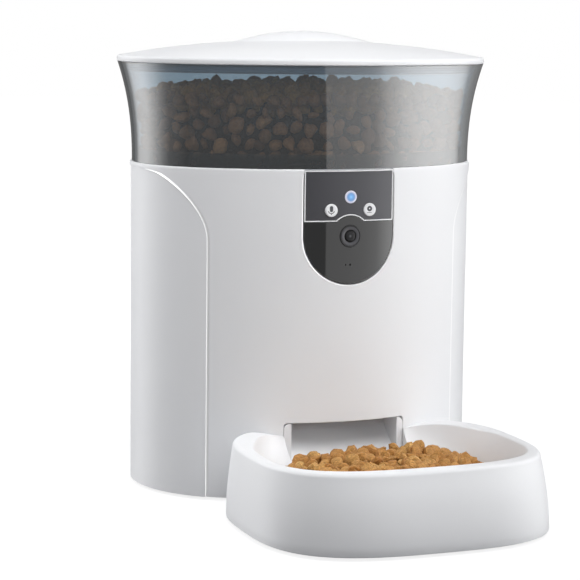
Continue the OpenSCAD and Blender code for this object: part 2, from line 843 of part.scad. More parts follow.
module drive_motor() {
  color(steel) part() translate([gear_d, gear_d, 0]) difference() {
    union() {
      translate([0, 0, case_z - motor_l]) cylinder(r = motor_r, h = motor_l);
      translate([0, 0, case_z - 0.1]) cylinder(r = nose_r, h = case_t);
    }
    translate([0, 0, case_z - pin_in - 2]) cylinder(r = pin_r + run_gap, h = 40);
  }
}

module main_board() {
  color(green) part() translate([board_x + 0.05, -mb_l / 2, deck_z0 + groove_d]) cube([board_t, mb_l, mb_h]);
}

module board_parts() {
  x = board_x + 0.05 + board_t;
  z = deck_z0 + groove_d;
  color(black) part() {
    translate([x, -0.2 * mb_l, z + 0.375 * mb_h]) cube([chip_t, chip_w, chip_w]);
    translate([x, 0.2 * mb_l, z + 0.66 * mb_h]) cube([radio_t, radio_w, radio_h]);
    translate([x, -0.37 * mb_l, z + 0.75 * mb_h]) cube([plug_t, plug_w, plug_h]);
    for (i = [0, 1]) translate([x, 0.23 * mb_l + can_step * i, z + 0.25 * mb_h])
      rotate([0, 90, 0]) cylinder(r = can_r, h = can_h);
  }
}

module speaker() {
  color(black) part() difference() {
    union() {
      bar(0, speaker_z, speaker_r, speaker_y + 1 - speaker_rim, speaker_y + 1);
      bar(0, speaker_z, speaker_r * 0.6, speaker_y + 1 - speaker_rim - magnet_l, speaker_y + 1 - speaker_rim);
    }
    translate([0, speaker_y - 2.5, speaker_z]) rotate([-90, 0, 0])
      cylinder(r1 = speaker_r * 0.3, r2 = speaker_r - 2, h = 3.6);
  }
}

module battery_box() {
  color([0.86, 0.86, 0.87]) part() difference() {
    translate([-bay_w / 2 - bay_t, bay_y0 - bay_t, deck_z0])
      cube([bay_w + 2 * bay_t, bay_l + 2 * bay_t, bay_top - deck_z0]);
    translate([-bay_w / 2, bay_y0, deck_z0 - 1]) cube([bay_w, bay_l, bay_top - deck_z0 + 1 - bay_t]);
  }
}

function cell_x(i) = (i - (cell_n - 1) / 2) * (cell_d + 0.8);
contact_z = deck_z0 + cell_d / 2 + contact_rise;

// Spring or button plate of one cell, standing on the bay's end wall
module contact(i, y) {
  translate([cell_x(i) - contact_w / 2, y, contact_z - contact_w / 2])
    cube([contact_w, contact_t, contact_w]);
}

module battery_springs() {
  color(steel) part() for (i = [0 : cell_n - 1]) {
    contact(i, bay_y0);
    translate([cell_x(i), bay_y0 + contact_t, contact_z]) rotate([-90, 0, 0])
      cylinder(r1 = coil_r, r2 = coil_r / 2, h = coil_h);
  }
}

module battery_plates() {
  color(steel) part() for (i = [0 : cell_n - 1]) contact(i, bay_y1 - contact_t);
}

module battery_door() {
  color([0.86, 0.86, 0.87]) part() difference() {
    translate([-door_w / 2, door_y0, foot_h]) cube([door_w, door_l, door_t]);
    for (i = [0 : 4]) translate([-14, door_y0 + door_l - 8 - 3 * i, foot_h - 1]) cube([28, 1.4, 1.6]);
  }
}

module dc_jack() {
  color(black) part() difference() {
    translate([jack_x - jack_w / 2, jack_y - jack_l, jack_z - jack_h / 2]) cube([jack_w, jack_l, jack_h]);
    bar(jack_x, jack_z, jack_bore, jack_y - jack_l + 2, jack_y + 1);
  }
  color(steel) part() bar(jack_x, jack_z, jack_pin, jack_y - jack_l + 1.8, jack_y - 1);
}

module hopper() {
  z_in = [for (k = [6 : -1 : 1]) body_h + hopper_h * k / 7];
  color([0.42, 0.46, 0.52, 0.5]) part() difference() {
    loft(concat(
      [round_ring(pocket_r + pocket_wall, pocket_z - pocket_t),
       round_ring(pocket_r + pocket_wall, pocket_top - 2),
       oval_ring(2 - ledge_g, collar_z - 7),
       oval_ring(-collar_in - 0.4, collar_z - 1),
       oval_ring(-collar_in - 0.4, body_h + 0.1),
       oval_ring(-body_lip, body_h + 0.1)],
      [for (k = [1 : 7]) oval_ring(hop_out(body_h + hopper_h * k / 7), body_h + hopper_h * k / 7)],
      [oval_ring(hop_in(lid_seat), lid_seat)],
      [for (z = z_in) oval_ring(hop_in(z), z)],
      [oval_ring(-ledge_g / 2, body_h + 0.6),
       oval_ring(-ledge_g - 0.5, collar_z - 4.4),
       round_ring(pocket_r, pocket_top),
       round_ring(pocket_r, pocket_z)]));
    translate([0, 0, pocket_z - pocket_t - 1]) cylinder(r = boss_r + run_gap, h = 10);
    // Outlet over the chute
    translate([0, 0, pocket_z - pocket_t - 1]) linear_extrude(height = pocket_t + 2) difference() {
      intersection() {
        circle(r = pocket_r - 2);
        front_sector(outlet_a, 2 * pocket_r);
      }
      circle(r = outlet_r0);
    }
  }
}

module outlet_baffle() {
  color([0.8, 0.8, 0.8]) part() translate([0, 0, baffle_z]) linear_extrude(height = baffle_t) difference() {
    intersection() {
      circle(r = pocket_r - 0.1);
      front_sector(outlet_a + 7, 2 * pocket_r);
    }
    circle(r = hub_r + baffle_gap);
  }
}

module lid() {
  z0 = lid_seat + 0.1;
  skirt = 5;
  color(white) part() loft([
    oval_ring(lid_g, dome(0.3) - 3, 0.3),
    oval_ring(lid_g, dome(0.55) - 3, 0.55),
    oval_ring(lid_g, dome(0.78) - 3, 0.78),
    oval_ring(hop_in(lid_seat - skirt) - 4, z0 + 1.6),
    oval_ring(hop_in(lid_seat - skirt) - 4, z0 - skirt),
    oval_ring(hop_in(lid_seat - skirt) - 1.6, z0 - skirt),
    oval_ring(hop_in(lid_seat) - 1.6, z0),
    oval_ring(lid_g - 1.1, z0),
    oval_ring(lid_g - 0.3, z0 + 0.8),
    oval_ring(lid_g, z0 + 2.1),
    oval_ring(lid_g - 0.4, z0 + 3.3),
    oval_ring(lid_g - 1.6, z0 + lid_rim - 0.3),
    oval_ring(lid_g, dome(0.95), 0.95),
    oval_ring(lid_g, dome(0.86), 0.86),
    oval_ring(lid_g, dome(0.74), 0.74),
    oval_ring(lid_g, dome(0.6), 0.6),
    ellipse_ring(grip_l / 2, grip_d / 2, lid_top - 0.9),
    ellipse_ring(grip_l * 0.43, grip_d * 0.43, lid_top - 0.9 + (grip_h + 0.9) * 0.26),
    ellipse_ring(grip_l * 0.35, grip_d * 0.35, lid_top - 0.9 + (grip_h + 0.9) * 0.51),
    ellipse_ring(grip_l * 0.25, grip_d * 0.25, lid_top - 0.9 + (grip_h + 0.9) * 0.75),
    ellipse_ring(grip_l * 0.14, grip_d * 0.14, lid_top - 0.9 + (grip_h + 0.9) * 0.93),
    ellipse_ring(grip_l * 0.05, grip_d * 0.05, lid_top + grip_h)]);
}

module lid_seal() {
  z0 = lid_seat + 0.1;
  color([0.75, 0.8, 0.86]) part() difference() {
    loft([oval_ring(hop_in(lid_seat - 4) - 0.4, z0 - 4), oval_ring(hop_in(lid_seat - 1) - 0.4, z0 - 1)]);
    loft([oval_ring(hop_in(lid_seat - 5) - 1.55, z0 - 5), oval_ring(hop_in(lid_seat) - 1.55, z0)]);
  }
}

// Box for drying agent under the lid's flat middle
dry_w = 60;
dry_d = 34;
dry_wall = 1.6;
dry_deep = 9;
dry_slot = 2;
dry_z = lid_top - (lid_rise + 1.2) * pow(0.3, 2.2) - 3;
dry_h = min(dry_deep, dry_z - lid_seat - 1);

module desiccant_box() {
  color([0.85, 0.86, 0.87]) part() difference() {
    translate([-dry_w / 2, -dry_d / 2, dry_z - dry_h]) cube([dry_w, dry_d, dry_h]);
    translate([-dry_w / 2 + dry_wall, -dry_d / 2 + dry_wall, dry_z - dry_h - 1])
      cube([dry_w - 2 * dry_wall, dry_d - 2 * dry_wall, dry_h + 1 - dry_wall]);
  }
}

module desiccant_cover() {
  color([0.85, 0.86, 0.87]) part() difference() {
    translate([-dry_w / 2, -dry_d / 2, dry_z - dry_h - dry_wall]) cube([dry_w, dry_d, dry_wall]);
    for (i = [-4 : 4]) translate([i * dry_w / 10 - dry_slot / 2, -dry_d / 3, dry_z - dry_h - 3])
      cube([dry_slot, dry_d * 2 / 3, 6]);
  }
}

// Rotor: sizes shared by hub, paddles, clip and the shaft's tongue
paddle_n = 6;
paddle_t = 3;
paddle_in = 2.1;
paddle_tip = 2.4;
cone_h = 18;
cone_tip = 4;
tongue_t = 3;
tongue_h = 5.6;
tongue_w = 14.4;
tongue_fit = 0.2;
shaft_head = 7.5;
clip_r = 12.5;
clip_t = 1.4;
hub_drop = 7.2;
dog_z = pocket_z - pocket_t - hub_drop;
shaft_top = dog_z - 0.4;

module rotor_hub() {
  color([0.9, 0.9, 0.9]) part() difference() {
    union() {
      translate([0, 0, pocket_z + 0.3]) cylinder(r = hub_r, h = paddle_h + 2);
      translate([0, 0, pocket_z + 2.3 + paddle_h]) cylinder(r1 = hub_r, r2 = cone_tip, h = cone_h);
      translate([0, 0, dog_z]) cylinder(r = boss_r, h = pocket_z + 1 - dog_z);
    }
    // Slot that drops over the drive tongue
    translate([-boss_r - 1, -tongue_t / 2 - tongue_fit, dog_z - 1])
      cube([2 * boss_r + 2, tongue_t + 2 * tongue_fit, tongue_h + 1.6]);
    // Sockets of the paddles
    for (i = [0 : paddle_n - 1]) rotate(360 / paddle_n * i)
      translate([hub_r - paddle_in - 0.1, -paddle_t / 2 - 0.05, pocket_z + 1.2])
        cube([5, paddle_t + 0.1, paddle_h - 1]);
  }
}

module rotor_paddles() {
  color([0.7, 0.75, 0.8]) part() for (i = [0 : paddle_n - 1]) rotate(360 / paddle_n * i)
    translate([hub_r - paddle_in, -paddle_t / 2, pocket_z + 1.3])
      cube([pocket_r - paddle_tip - hub_r + paddle_in, paddle_t, paddle_h - 1.2]);
}

module rotor_clip() {
  color(steel) part() translate([0, 0, pocket_z - pocket_t - 0.3 - clip_t]) difference() {
    cylinder(r = clip_r, h = clip_t);
    translate([0, 0, -1]) cylinder(r = boss_r + 0.02, h = clip_t + 2);
  }
}

module drive_shaft() {
  z0 = deck_bot + deck_t + bush_head + 0.3;
  color(steel) part() {
    translate([0, 0, case_z + 0.3]) cylinder(r = shaft_r, h = shaft_top - case_z - 0.3);
    translate([0, 0, z0]) cylinder(r = shaft_head, h = shaft_top - z0);
    translate([-tongue_w / 2, -tongue_t / 2, dog_z - 1]) cube([tongue_w, tongue_t, tongue_h + 1]);
  }
}

module output_gear() {
  color([0.93, 0.92, 0.86]) part() translate([0, 0, tier1_z]) {
    linear_extrude(height = tier1_h) difference() {
      rotate(90) gear_outline(teeth_big);
      circle(r = shaft_r + 0.02);
    }
  }
}

module idler_gear() {
  color([0.93, 0.92, 0.86]) part() translate([0, gear_d, 0]) difference() {
    union() {
      translate([0, 0, tier1_z]) linear_extrude(height = tier1_h)
        rotate(-90 + 180 / teeth_small) gear_outline(teeth_small);
      translate([0, 0, tier1_z + tier1_h]) cylinder(r = neck_r, h = tier2_z - tier1_z - tier1_h);
      translate([0, 0, tier2_z]) linear_extrude(height = tier2_h) gear_outline(teeth_big);
    }
    translate([0, 0, tier1_z - 1]) cylinder(r = axle_r + run_gap, h = 40);
  }
}

module motor_shaft() {
  color(steel) part() translate([gear_d, gear_d, case_z - pin_in])
    cylinder(r = pin_r, h = tier2_z + tier2_h - case_z + pin_in);
}

module motor_pinion() {
  color([0.8, 0.66, 0.36]) part() translate([gear_d, gear_d, tier2_z])
    linear_extrude(height = tier2_h) difference() {
      rotate(180 + 180 / teeth_small) gear_outline(teeth_small);
      circle(r = pin_r + 0.02);
    }
}

// Rounded outside of the bowl, as one solid
module bowl_outside() {
  a = bowl_w / 2;
  b = bowl_l / 2;
  loft([
    bowl_ring(a - 1, b - 1, bowl_y, foot_h),
    bowl_ring(a, b, bowl_y, foot_h + 1.2),
    bowl_ring(rim_a + 0.4, rim_b + 0.4, rim_y, bowl_h - 4.4),
    bowl_ring(rim_a - 0.6, rim_b - 0.6, rim_y, bowl_h - 2),
    bowl_ring(rim_a - 2.2, rim_b - 2.4, rim_y, bowl_h - 0.5),
    bowl_ring(rim_a - 4, rim_b - 5, rim_y, bowl_h)]);
}

// The space for food
module bowl_inside() {
  front = rim_y - rim_b + rim_w + 4;
  back = -half_d - 12;
  y = (front + back) / 2;
  b = (back - front) / 2;
  a = rim_a - rim_w;
  loft([
    bowl_ring(a - 16, b - 12, y, floor_z),
    bowl_ring(a - 10, b - 7, y, floor_z + 4),
    bowl_ring(a - 3.5, b - 3, y, bowl_h - 12),
    bowl_ring(a - 0.5, b - 0.5, y, bowl_h - 3),
    bowl_ring(a + 1.2, b + 1.2, y, bowl_h - 1),
    bowl_ring(a + 4, b + 4, y, bowl_h + 0.4)]);
}

pad_r = 6;
pad_wall = 2;
bowl_pads = [for (sx = [-1, 1]) each [[sx * 0.255 * bowl_w, -bowl_reach + 4 * pad_r],
                                      [sx * 0.31 * bowl_w, -half_d - 14]]];

module bowl() {
  color(white) part() difference() {
    bowl_outside();
    bowl_inside();
    // Hollow underside, left solid towards the body and over the feet
    difference() {
      loft([bowl_ring(bowl_w / 2 - 3.4, bowl_l / 2 - 3.4, bowl_y, foot_h - 1),
            bowl_ring(rim_a - 2.8, rim_b - 2.8, rim_y, bowl_h - 6)]);
      translate([0, 0, floor_z - 2.4]) linear_extrude(height = far) polygon(
        [for (p = bowl_ring(rim_a - rim_w + 1.2, (rim_b * 2 - rim_w - 20) / 2, rim_y - 3, 0)) [p[0], p[1]]]);
      translate([-far / 2, -half_d - 24, 0]) cube([far, far, far]);
      for (p = bowl_pads) translate([p[0], p[1], 0]) cylinder(r = pad_r + pad_wall, h = far);
    }
    // The body's own front
    translate([0, front_cy, -1]) cylinder(r = front_r + bowl_gap, h = far);
    // Gap for the chute
    translate([-chute_h - cheek_t - 0.8, -half_d - 34, chute_lip - 9.6])
      cube([2 * (chute_h + cheek_t + 0.8), half_d, far]);
  }
}

module bowl_feet() {
  color([0.2, 0.2, 0.21]) part() for (p = bowl_pads) translate([p[0], p[1], 0])
    cylinder(r = pad_r, h = foot_h);
}

front_shell();
rear_shell();
top_collar();
base_cover();
rubber_feet();
base_screws();
camera_window();
control_panel();
panel_trim();
status_light();
lens_ring();
lens_glass();
camera_barrel();
camera_board();
microphone();
panel_board();
tact_switches();
chute();
gearbox_case();
gearbox_deck();
deck_screws();
shaft_bush();
idler_axle();
drive_motor();
main_board();
board_parts();
speaker();
battery_box();
battery_springs();
battery_plates();
dc_jack();
hopper();
outlet_baffle();
lid();
lid_seal();
desiccant_box();
desiccant_cover();
rotor_hub();
rotor_paddles();
rotor_clip();
drive_shaft();
output_gear();
idler_gear();
motor_shaft();
motor_pinion();
bowl();
bowl_feet();
feed_button();
record_button();
battery_door();
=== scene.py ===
# %% [markdown]
# # A pet feeder with a camera, dressed around its CAD frame
# The feeder is an oval body with a camera panel, a smoked food tank under a lid, and a bowl in front.
# The CAD model is loaded first and never moved. The outer pieces are then made again with rounded edges
# and ride on the CAD bodies that they belong to. The other pieces keep their CAD mesh, and all of them get
# a real finish.

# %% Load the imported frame
import json
import math
import random

import bpy
import bmesh
import numpy as np
from mathutils import Matrix, Vector
from mathutils.geometry import delaunay_2d_cdt

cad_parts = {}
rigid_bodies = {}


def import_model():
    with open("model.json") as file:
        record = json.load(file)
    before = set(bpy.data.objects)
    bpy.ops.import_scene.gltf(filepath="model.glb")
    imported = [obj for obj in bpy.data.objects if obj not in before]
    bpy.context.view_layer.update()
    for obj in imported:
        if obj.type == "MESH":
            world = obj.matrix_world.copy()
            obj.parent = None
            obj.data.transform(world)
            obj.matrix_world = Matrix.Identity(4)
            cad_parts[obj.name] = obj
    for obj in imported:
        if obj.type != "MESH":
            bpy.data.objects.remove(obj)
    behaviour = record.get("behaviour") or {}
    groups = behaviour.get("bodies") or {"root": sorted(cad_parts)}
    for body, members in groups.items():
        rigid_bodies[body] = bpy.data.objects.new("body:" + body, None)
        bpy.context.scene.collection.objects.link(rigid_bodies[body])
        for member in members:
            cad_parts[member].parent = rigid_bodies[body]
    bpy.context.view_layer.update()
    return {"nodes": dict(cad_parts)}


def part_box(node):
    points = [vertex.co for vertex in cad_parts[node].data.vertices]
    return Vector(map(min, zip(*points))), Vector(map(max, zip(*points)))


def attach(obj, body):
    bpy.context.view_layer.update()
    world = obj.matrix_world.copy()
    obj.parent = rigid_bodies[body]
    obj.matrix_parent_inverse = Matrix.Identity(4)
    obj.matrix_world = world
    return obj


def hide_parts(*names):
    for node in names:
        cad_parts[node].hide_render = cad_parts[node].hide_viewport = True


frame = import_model()
MM = 0.001
tank_lo, tank_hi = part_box("hopper")
AXIS_Y = (tank_lo.y + tank_hi.y) / 2 / MM

# %% [markdown]
# ## The camera
# A camera is a place, a direction, a small roll and a focal length. They were solved from points of the
# feeder that show in the picture, so they are plain numbers here. No shift and no depth of field.

# %% Place the camera
PHOTO_PX = 580
FOCAL_PX = 2071.01
SENSOR_MM = 36.0
CAMERA_AT = Vector((-0.49895, -1.20633, 0.30843))
LOOK = Vector((0.3569055, 0.9245257, -0.1336812)).normalized()
ROLL = math.radians(0.666)


def in_scene(name, data):
    """A new object for a mesh, a lamp or a camera, linked into the scene."""
    made = bpy.data.objects.new(name, data)
    bpy.context.scene.collection.objects.link(made)
    return made


camera_data = bpy.data.cameras.new("studio_camera")
camera_data.sensor_width = SENSOR_MM
camera_data.lens = FOCAL_PX * SENSOR_MM / PHOTO_PX
camera = in_scene("studio_camera", camera_data)
level = LOOK.cross(Vector((0, 0, 1))).normalized()
upright = level.cross(LOOK)
turned_x = level * math.cos(ROLL) + upright * math.sin(ROLL)
turned_y = upright * math.cos(ROLL) - level * math.sin(ROLL)
camera.matrix_world = Matrix.Translation(CAMERA_AT) @ Matrix(
    (turned_x, turned_y, -LOOK)).transposed().to_4x4()
bpy.context.scene.camera = camera
print("lens", round(camera_data.lens, 2), "mm")

# %% [markdown]
# ## Small helpers for nodes and colours
# Shader trees and geometry trees are built the same way: add a node, set its options, fill its sockets
# with a value or with a link. One function does that for every kind of node. Colours are written as on a
# swatch, in sRGB hex, and turned to the linear light that Blender works in.

# %% Node and colour helpers
def tint(code):
    """A hex colour as linear RGBA."""
    parts = [int(code[i:i + 2], 16) / 255 for i in (1, 3, 5)]
    return tuple(c / 12.92 if c <= 0.04045 else ((c + 0.055) / 1.055) ** 2.4 for c in parts) + (1.0,)


def add(tree, kind, sockets=None, stops=(), **settings):
    """Adds one node with its settings. A socket gets a link or a value.

    A colour ramp gets (place, hex colour) stops, of which the first is at 0 and the last at 1."""
    made = tree.nodes.new(kind)
    for key, value in settings.items():
        setattr(made, key, value)
    for key, value in (sockets or {}).items():
        if isinstance(value, bpy.types.NodeSocket):
            tree.links.new(value, made.inputs[key])
        else:
            made.inputs[key].default_value = value
    for end, (_, code) in zip((0, 1), stops[:1] + stops[-1:]):
        made.color_ramp.elements[end].color = tint(code)
    for at, code in stops[1:-1]:
        made.color_ramp.elements.new(at).color = tint(code)
    return made


def new_finish(name):
    """An empty material with its tree, and Object coordinates in millimetres."""
    finish = bpy.data.materials.new(name)
    finish.use_nodes = True
    tree = finish.node_tree
    tree.nodes.clear()
    place = add(tree, "ShaderNodeTexCoord").outputs["Object"]
    in_mm = add(tree, "ShaderNodeMapping", {"Vector": place, "Scale": (1000, 1000, 1000)})
    return finish, tree, in_mm.outputs["Vector"]


print("mid grey #808080 is", round(tint("#808080")[0], 3), "in linear light")

# %% [markdown]
# ## Moulded plastics
# Most of the feeder is injection-moulded ABS. It looks even from a step away, but the steel mould leaves
# a fine spark-eroded grain that spreads highlights, and the white is never quite the same all over.
# A noise of a fraction of a millimetre drives roughness and bump, and a broad one shifts the colour.

# %% Moulded ABS and its colours
BROAD_MM, GRAIN_SPREAD = 60.0, 0.14


def moulded(name, light, dark, rough, grain_mm, grain_depth, ior=1.54, coat=0.0, shine=0.5):
    """Opaque moulded plastic: two near colours, and a mould grain of the given size and depth in mm."""
    finish, tree, mm = new_finish(name)
    broad = add(tree, "ShaderNodeTexNoise", {"Vector": mm, "Scale": 1 / BROAD_MM, "Detail": 2.0})
    grain = add(tree, "ShaderNodeTexNoise", {"Vector": mm, "Scale": 1 / grain_mm, "Detail": 3.0})
    colour = add(tree, "ShaderNodeMix", {"Factor": broad.outputs["Fac"], 6: tint(dark), 7: tint(light)},
                 data_type="RGBA")
    uneven = add(tree, "ShaderNodeMapRange", {"Value": grain.outputs["Fac"],
                                              "To Min": rough * (1 - GRAIN_SPREAD),
                                              "To Max": rough * (1 + GRAIN_SPREAD)})
    bump = add(tree, "ShaderNodeBump", {"Height": grain.outputs["Fac"], "Strength": 0.25,
                                        "Distance": grain_depth * MM})
    skin = add(tree, "ShaderNodeBsdfPrincipled", {
        "Base Color": colour.outputs[2], "Roughness": uneven.outputs["Result"], "IOR": ior,
        "Normal": bump.outputs["Normal"], "Coat Weight": coat, "Coat Roughness": 0.03,
        "Specular IOR Level": shine})
    add(tree, "ShaderNodeOutputMaterial", {"Surface": skin.outputs["BSDF"]})
    return finish


# The grain is drawn 0.7 mm wide, about three times its real size, so that it shows in the picture.
# In the satin white it also traps part of the mirror light, hence the lower shine.
abs_white = moulded("abs_white_satin_moulded", "#F0F1F3", "#EBECEF", 0.42, 0.7, 0.02, shine=0.3)
# Mouldings that are out of sight are a shade greyer and coarser.
abs_pale = moulded("abs_pale_grey_moulded", "#DADCDF", "#D3D5D9", 0.45, 0.9, 0.03)
# A polished mould gives the buttons a small clear highlight.
abs_button = moulded("abs_white_polished_button", "#F4F5F7", "#EFF0F3", 0.24, 0.6, 0.008)
# Satin dark plastics show a broad pale sheen, and the hard-coated window a sharp mirror image.
abs_panel = moulded("abs_dark_grey_satin_panel", "#424247", "#3C3C41", 0.34, 0.5, 0.01)
abs_black = moulded("abs_black_moulded", "#1A1A1C", "#151517", 0.42, 0.6, 0.02)
abs_ring = moulded("abs_dark_grey_lens_ring", "#46464A", "#3F3F44", 0.3, 0.5, 0.006)
pmma_black = moulded("pmma_black_hard_coated_window", "#0C0C0E", "#09090A", 0.05, 1.5, 0.001, 1.6, 0.6)
# Paint lies smoother than a moulded skin, so the trim line stays even and bright.
trim_light = moulded("abs_white_painted_trim", "#F4F5F7", "#EEEFF2", 0.3, 0.5, 0.006)
# Gear plastics are dull and a little yellow or grey, as they are left uncoloured.
nylon_grey = moulded("nylon_grey_moulded", "#B9BAB8", "#AFB0AE", 0.5, 0.8, 0.03)
acetal_cream = moulded("acetal_cream_gear", "#E6E0CF", "#DED8C6", 0.38, 0.7, 0.015)
# Rubber has hardly any highlight, and silicone a soft one.
rubber_black = moulded("rubber_black_moulded", "#2B2B2C", "#222223", 0.78, 0.8, 0.06, 1.52)
silicone_blue = moulded("silicone_pale_blue_seal", "#C3D2E2", "#B8C8DA", 0.42, 0.8, 0.01, 1.43)
# Printing ink is flat and matt.
ink_dark = moulded("printed_dark_ink", "#4A4B50", "#44454A", 0.5, 0.4, 0.004)
print("materials so far, with those of the CAD:", len(bpy.data.materials))

# %% [markdown]
# ## Smoked tank plastic
# The tank is clear styrene resin (SAN) with a smoke tint in the mass. The surface is hard-coated, so it
# mirrors the studio's screens, and light that goes through it loses a little on every millimetre. That
# loss is a Volume Absorption, so a thick rim turns dark by itself and a thin wall stays clear. Lamps reach
# the food by shadow rays, which only pass straight on. For them the wall is a plain tinted film without
# smoke, because otherwise the food behind it is darker than the picture shows it.

# %% Smoked SAN
RIPPLE_MM = 25.0


def smoked(name, loss_per_mm):
    """Clear plastic with smoke in the mass, which takes its share of all but lamp light on every mm."""
    finish, tree, mm = new_finish(name)
    ripple = add(tree, "ShaderNodeTexNoise", {"Vector": mm, "Scale": 1 / RIPPLE_MM, "Detail": 1.0})
    ripple_bump = add(tree, "ShaderNodeBump", {"Height": ripple.outputs["Fac"], "Strength": 0.1,
                                               "Distance": 0.05 * MM})
    clear = add(tree, "ShaderNodeBsdfPrincipled", {
        "Base Color": tint("#F2F5F8"), "Roughness": 0.02, "IOR": 1.57, "Transmission Weight": 1.0,
        "Coat Weight": 1.0, "Coat Roughness": 0.02, "Coat IOR": 1.7, "Normal": ripple_bump.outputs["Normal"]})
    passed = add(tree, "ShaderNodeBsdfTransparent", {"Color": tint("#F4F6F8")})
    shadow_ray = add(tree, "ShaderNodeLightPath").outputs["Is Shadow Ray"]
    either = add(tree, "ShaderNodeMixShader", {0: shadow_ray, 1: clear.outputs["BSDF"],
                                               2: passed.outputs["BSDF"]})
    loss = loss_per_mm / MM
    density = add(tree, "ShaderNodeMath", {0: shadow_ray, 1: -loss, 2: loss}, operation="MULTIPLY_ADD")
    smoke = add(tree, "ShaderNodeVolumeAbsorption", {"Color": tint("#5596AE"),
                                                     "Density": density.outputs["Value"]})
    add(tree, "ShaderNodeOutputMaterial", {"Surface": either.outputs["Shader"],
                                           "Volume": smoke.outputs["Volume"]})
    return finish


smoked_san = smoked("san_smoked_clear_polished", 0.18)
# The tank's foot is far darker in the picture than its wall, so the tray there has more smoke.
smoked_tray = smoked("san_smoked_dark_tray", 2.0)
print("smoked finishes:", smoked_san.name, smoked_tray.name)

# %% [markdown]
# ## Metals, boards and glass
# The inside is seen when the tank is lifted out and from below: zinc-plated screws, a nickel-plated motor
# can, brass and bronze, green circuit boards. A metal keeps the default IOR and gets its colour from the
# metal itself; fine streaks or spots in roughness keep it from looking like grey paint.

# %% Metals
STREAK_SPREAD = 0.3


def metal(name, colour, rough, streak_mm):
    """Plated or turned metal: streaks along one axis make the roughness uneven."""
    finish, tree, mm = new_finish(name)
    drawn = add(tree, "ShaderNodeMapping", {"Vector": mm, "Scale": (1, 1, 0.1)})
    streak = add(tree, "ShaderNodeTexNoise", {"Vector": drawn.outputs["Vector"], "Scale": 1 / streak_mm,
                                              "Detail": 4.0})
    uneven = add(tree, "ShaderNodeMapRange", {"Value": streak.outputs["Fac"],
                                              "To Min": rough * (1 - STREAK_SPREAD),
                                              "To Max": rough * (1 + STREAK_SPREAD)})
    bump = add(tree, "ShaderNodeBump", {"Height": streak.outputs["Fac"], "Strength": 0.2,
                                        "Distance": 0.01 * MM})
    skin = add(tree, "ShaderNodeBsdfPrincipled", {
        "Base Color": tint(colour), "Metallic": 1.0, "Roughness": uneven.outputs["Result"],
        "Normal": bump.outputs["Normal"]})
    add(tree, "ShaderNodeOutputMaterial", {"Surface": skin.outputs["BSDF"]})
    return finish


# Zinc plate is a cool grey with a soft shine, nickel a warmer and smoother one.
zinc_steel = metal("steel_zinc_plated", "#C4C6C9", 0.34, 0.4)
nickel_can = metal("steel_nickel_plated_can", "#B5B3AE", 0.28, 0.8)
# Turned brass glints yellow, and the porous bush is browner and duller.
brass = metal("brass_turned", "#C9A24E", 0.3, 0.3)
bronze = metal("bronze_sintered_bush", "#A87B4A", 0.45, 0.5)
# Pale mirror metal on the front shell's edge, which stands in for a highlight: it gives the eye the thin
# bright line along the seam.
seam_highlight_foil = metal("pale_metal_for_seam_highlight", "#FAFAFB", 0.42, 0.4)
print("metal finishes:", [m.name for m in (zinc_steel, nickel_can, brass, bronze, seam_highlight_foil)])

# %% Circuit board and camera glass
LENS_Z, GLASS_R = 169.0, 3.75


def from_middle(tree, mm, z, radius):
    """How far a point of the front view lies from a spot on the middle line, as a share of a radius."""
    centred = add(tree, "ShaderNodeMapping", {"Vector": mm, "Location": (0, 0, -z), "Scale": (1, 0, 1)})
    reach = add(tree, "ShaderNodeVectorMath", {0: centred.outputs["Vector"]}, operation="LENGTH")
    share = add(tree, "ShaderNodeMath", {0: reach.outputs["Value"], 1: radius}, operation="DIVIDE")
    return share.outputs["Value"]


# Green solder mask over copper: the tracks are a hair higher and show as a lighter green.
board_green, tree, mm = new_finish("fr4_green_solder_mask")
tracks = add(tree, "ShaderNodeTexBrick", {"Vector": mm, "Scale": 0.2, "Color1": tint("#1C6B3E"),
                                          "Color2": tint("#175C35"), "Mortar": tint("#3C8F5B"),
                                          "Mortar Size": 0.03, "Mortar Smooth": 0.2})
track_bump = add(tree, "ShaderNodeBump", {"Height": tracks.outputs["Fac"], "Strength": 0.4,
                                          "Distance": 0.04 * MM})
mask = add(tree, "ShaderNodeBsdfPrincipled", {"Base Color": tracks.outputs["Color"], "Roughness": 0.32,
                                              "IOR": 1.52, "Normal": track_bump.outputs["Normal"]})
add(tree, "ShaderNodeOutputMaterial", {"Surface": mask.outputs["BSDF"]})

# Coated lens: nearly black, with faint painted rings that stand for the glasses behind it, and a grey
# highlight painted in the middle. The coating takes most of the mirror light away, hence the low shine.
lens_coated, tree, mm = new_finish("glass_coated_lens_painted_glint")
rings = add(tree, "ShaderNodeValToRGB", {"Fac": from_middle(tree, mm, LENS_Z, GLASS_R)}, stops=(
    (0.0, "#6A6B6E"), (0.14, "#505154"), (0.3, "#313133"), (0.55, "#2B2B2C"), (0.62, "#3A3A3C"),
    (0.7, "#262627"), (1.0, "#1E1E1F")))
glass = add(tree, "ShaderNodeBsdfPrincipled", {"Base Color": rings.outputs["Color"], "Roughness": 0.08,
                                               "IOR": 1.5, "Specular IOR Level": 0.15})
add(tree, "ShaderNodeOutputMaterial", {"Surface": glass.outputs["BSDF"]})
print("materials so far, with those of the CAD:", len(bpy.data.materials))

# %% [markdown]
# ## The oval body as a sheet
# The body's plan is four arcs that meet smoothly. If that outline is unrolled, the whole wall becomes a
# flat sheet: s runs along the outline from the middle of the front, z is the height. Holes, panels and
# seams are then drawn flat, with a true edge radius, and bent round the body at the end.

# %% Outline of the body
FRONT_R, FRONT_CY = 144.0, 58.0
SIDE_R, SIDE_CX = 71.5, 43.5
TURN = math.atan2(SIDE_CX, FRONT_CY)
FRONT_RUN = FRONT_R * TURN
SIDE_RUN = SIDE_R * (math.pi - 2 * TURN)
ROUND = 2 * (2 * FRONT_RUN + SIDE_RUN)


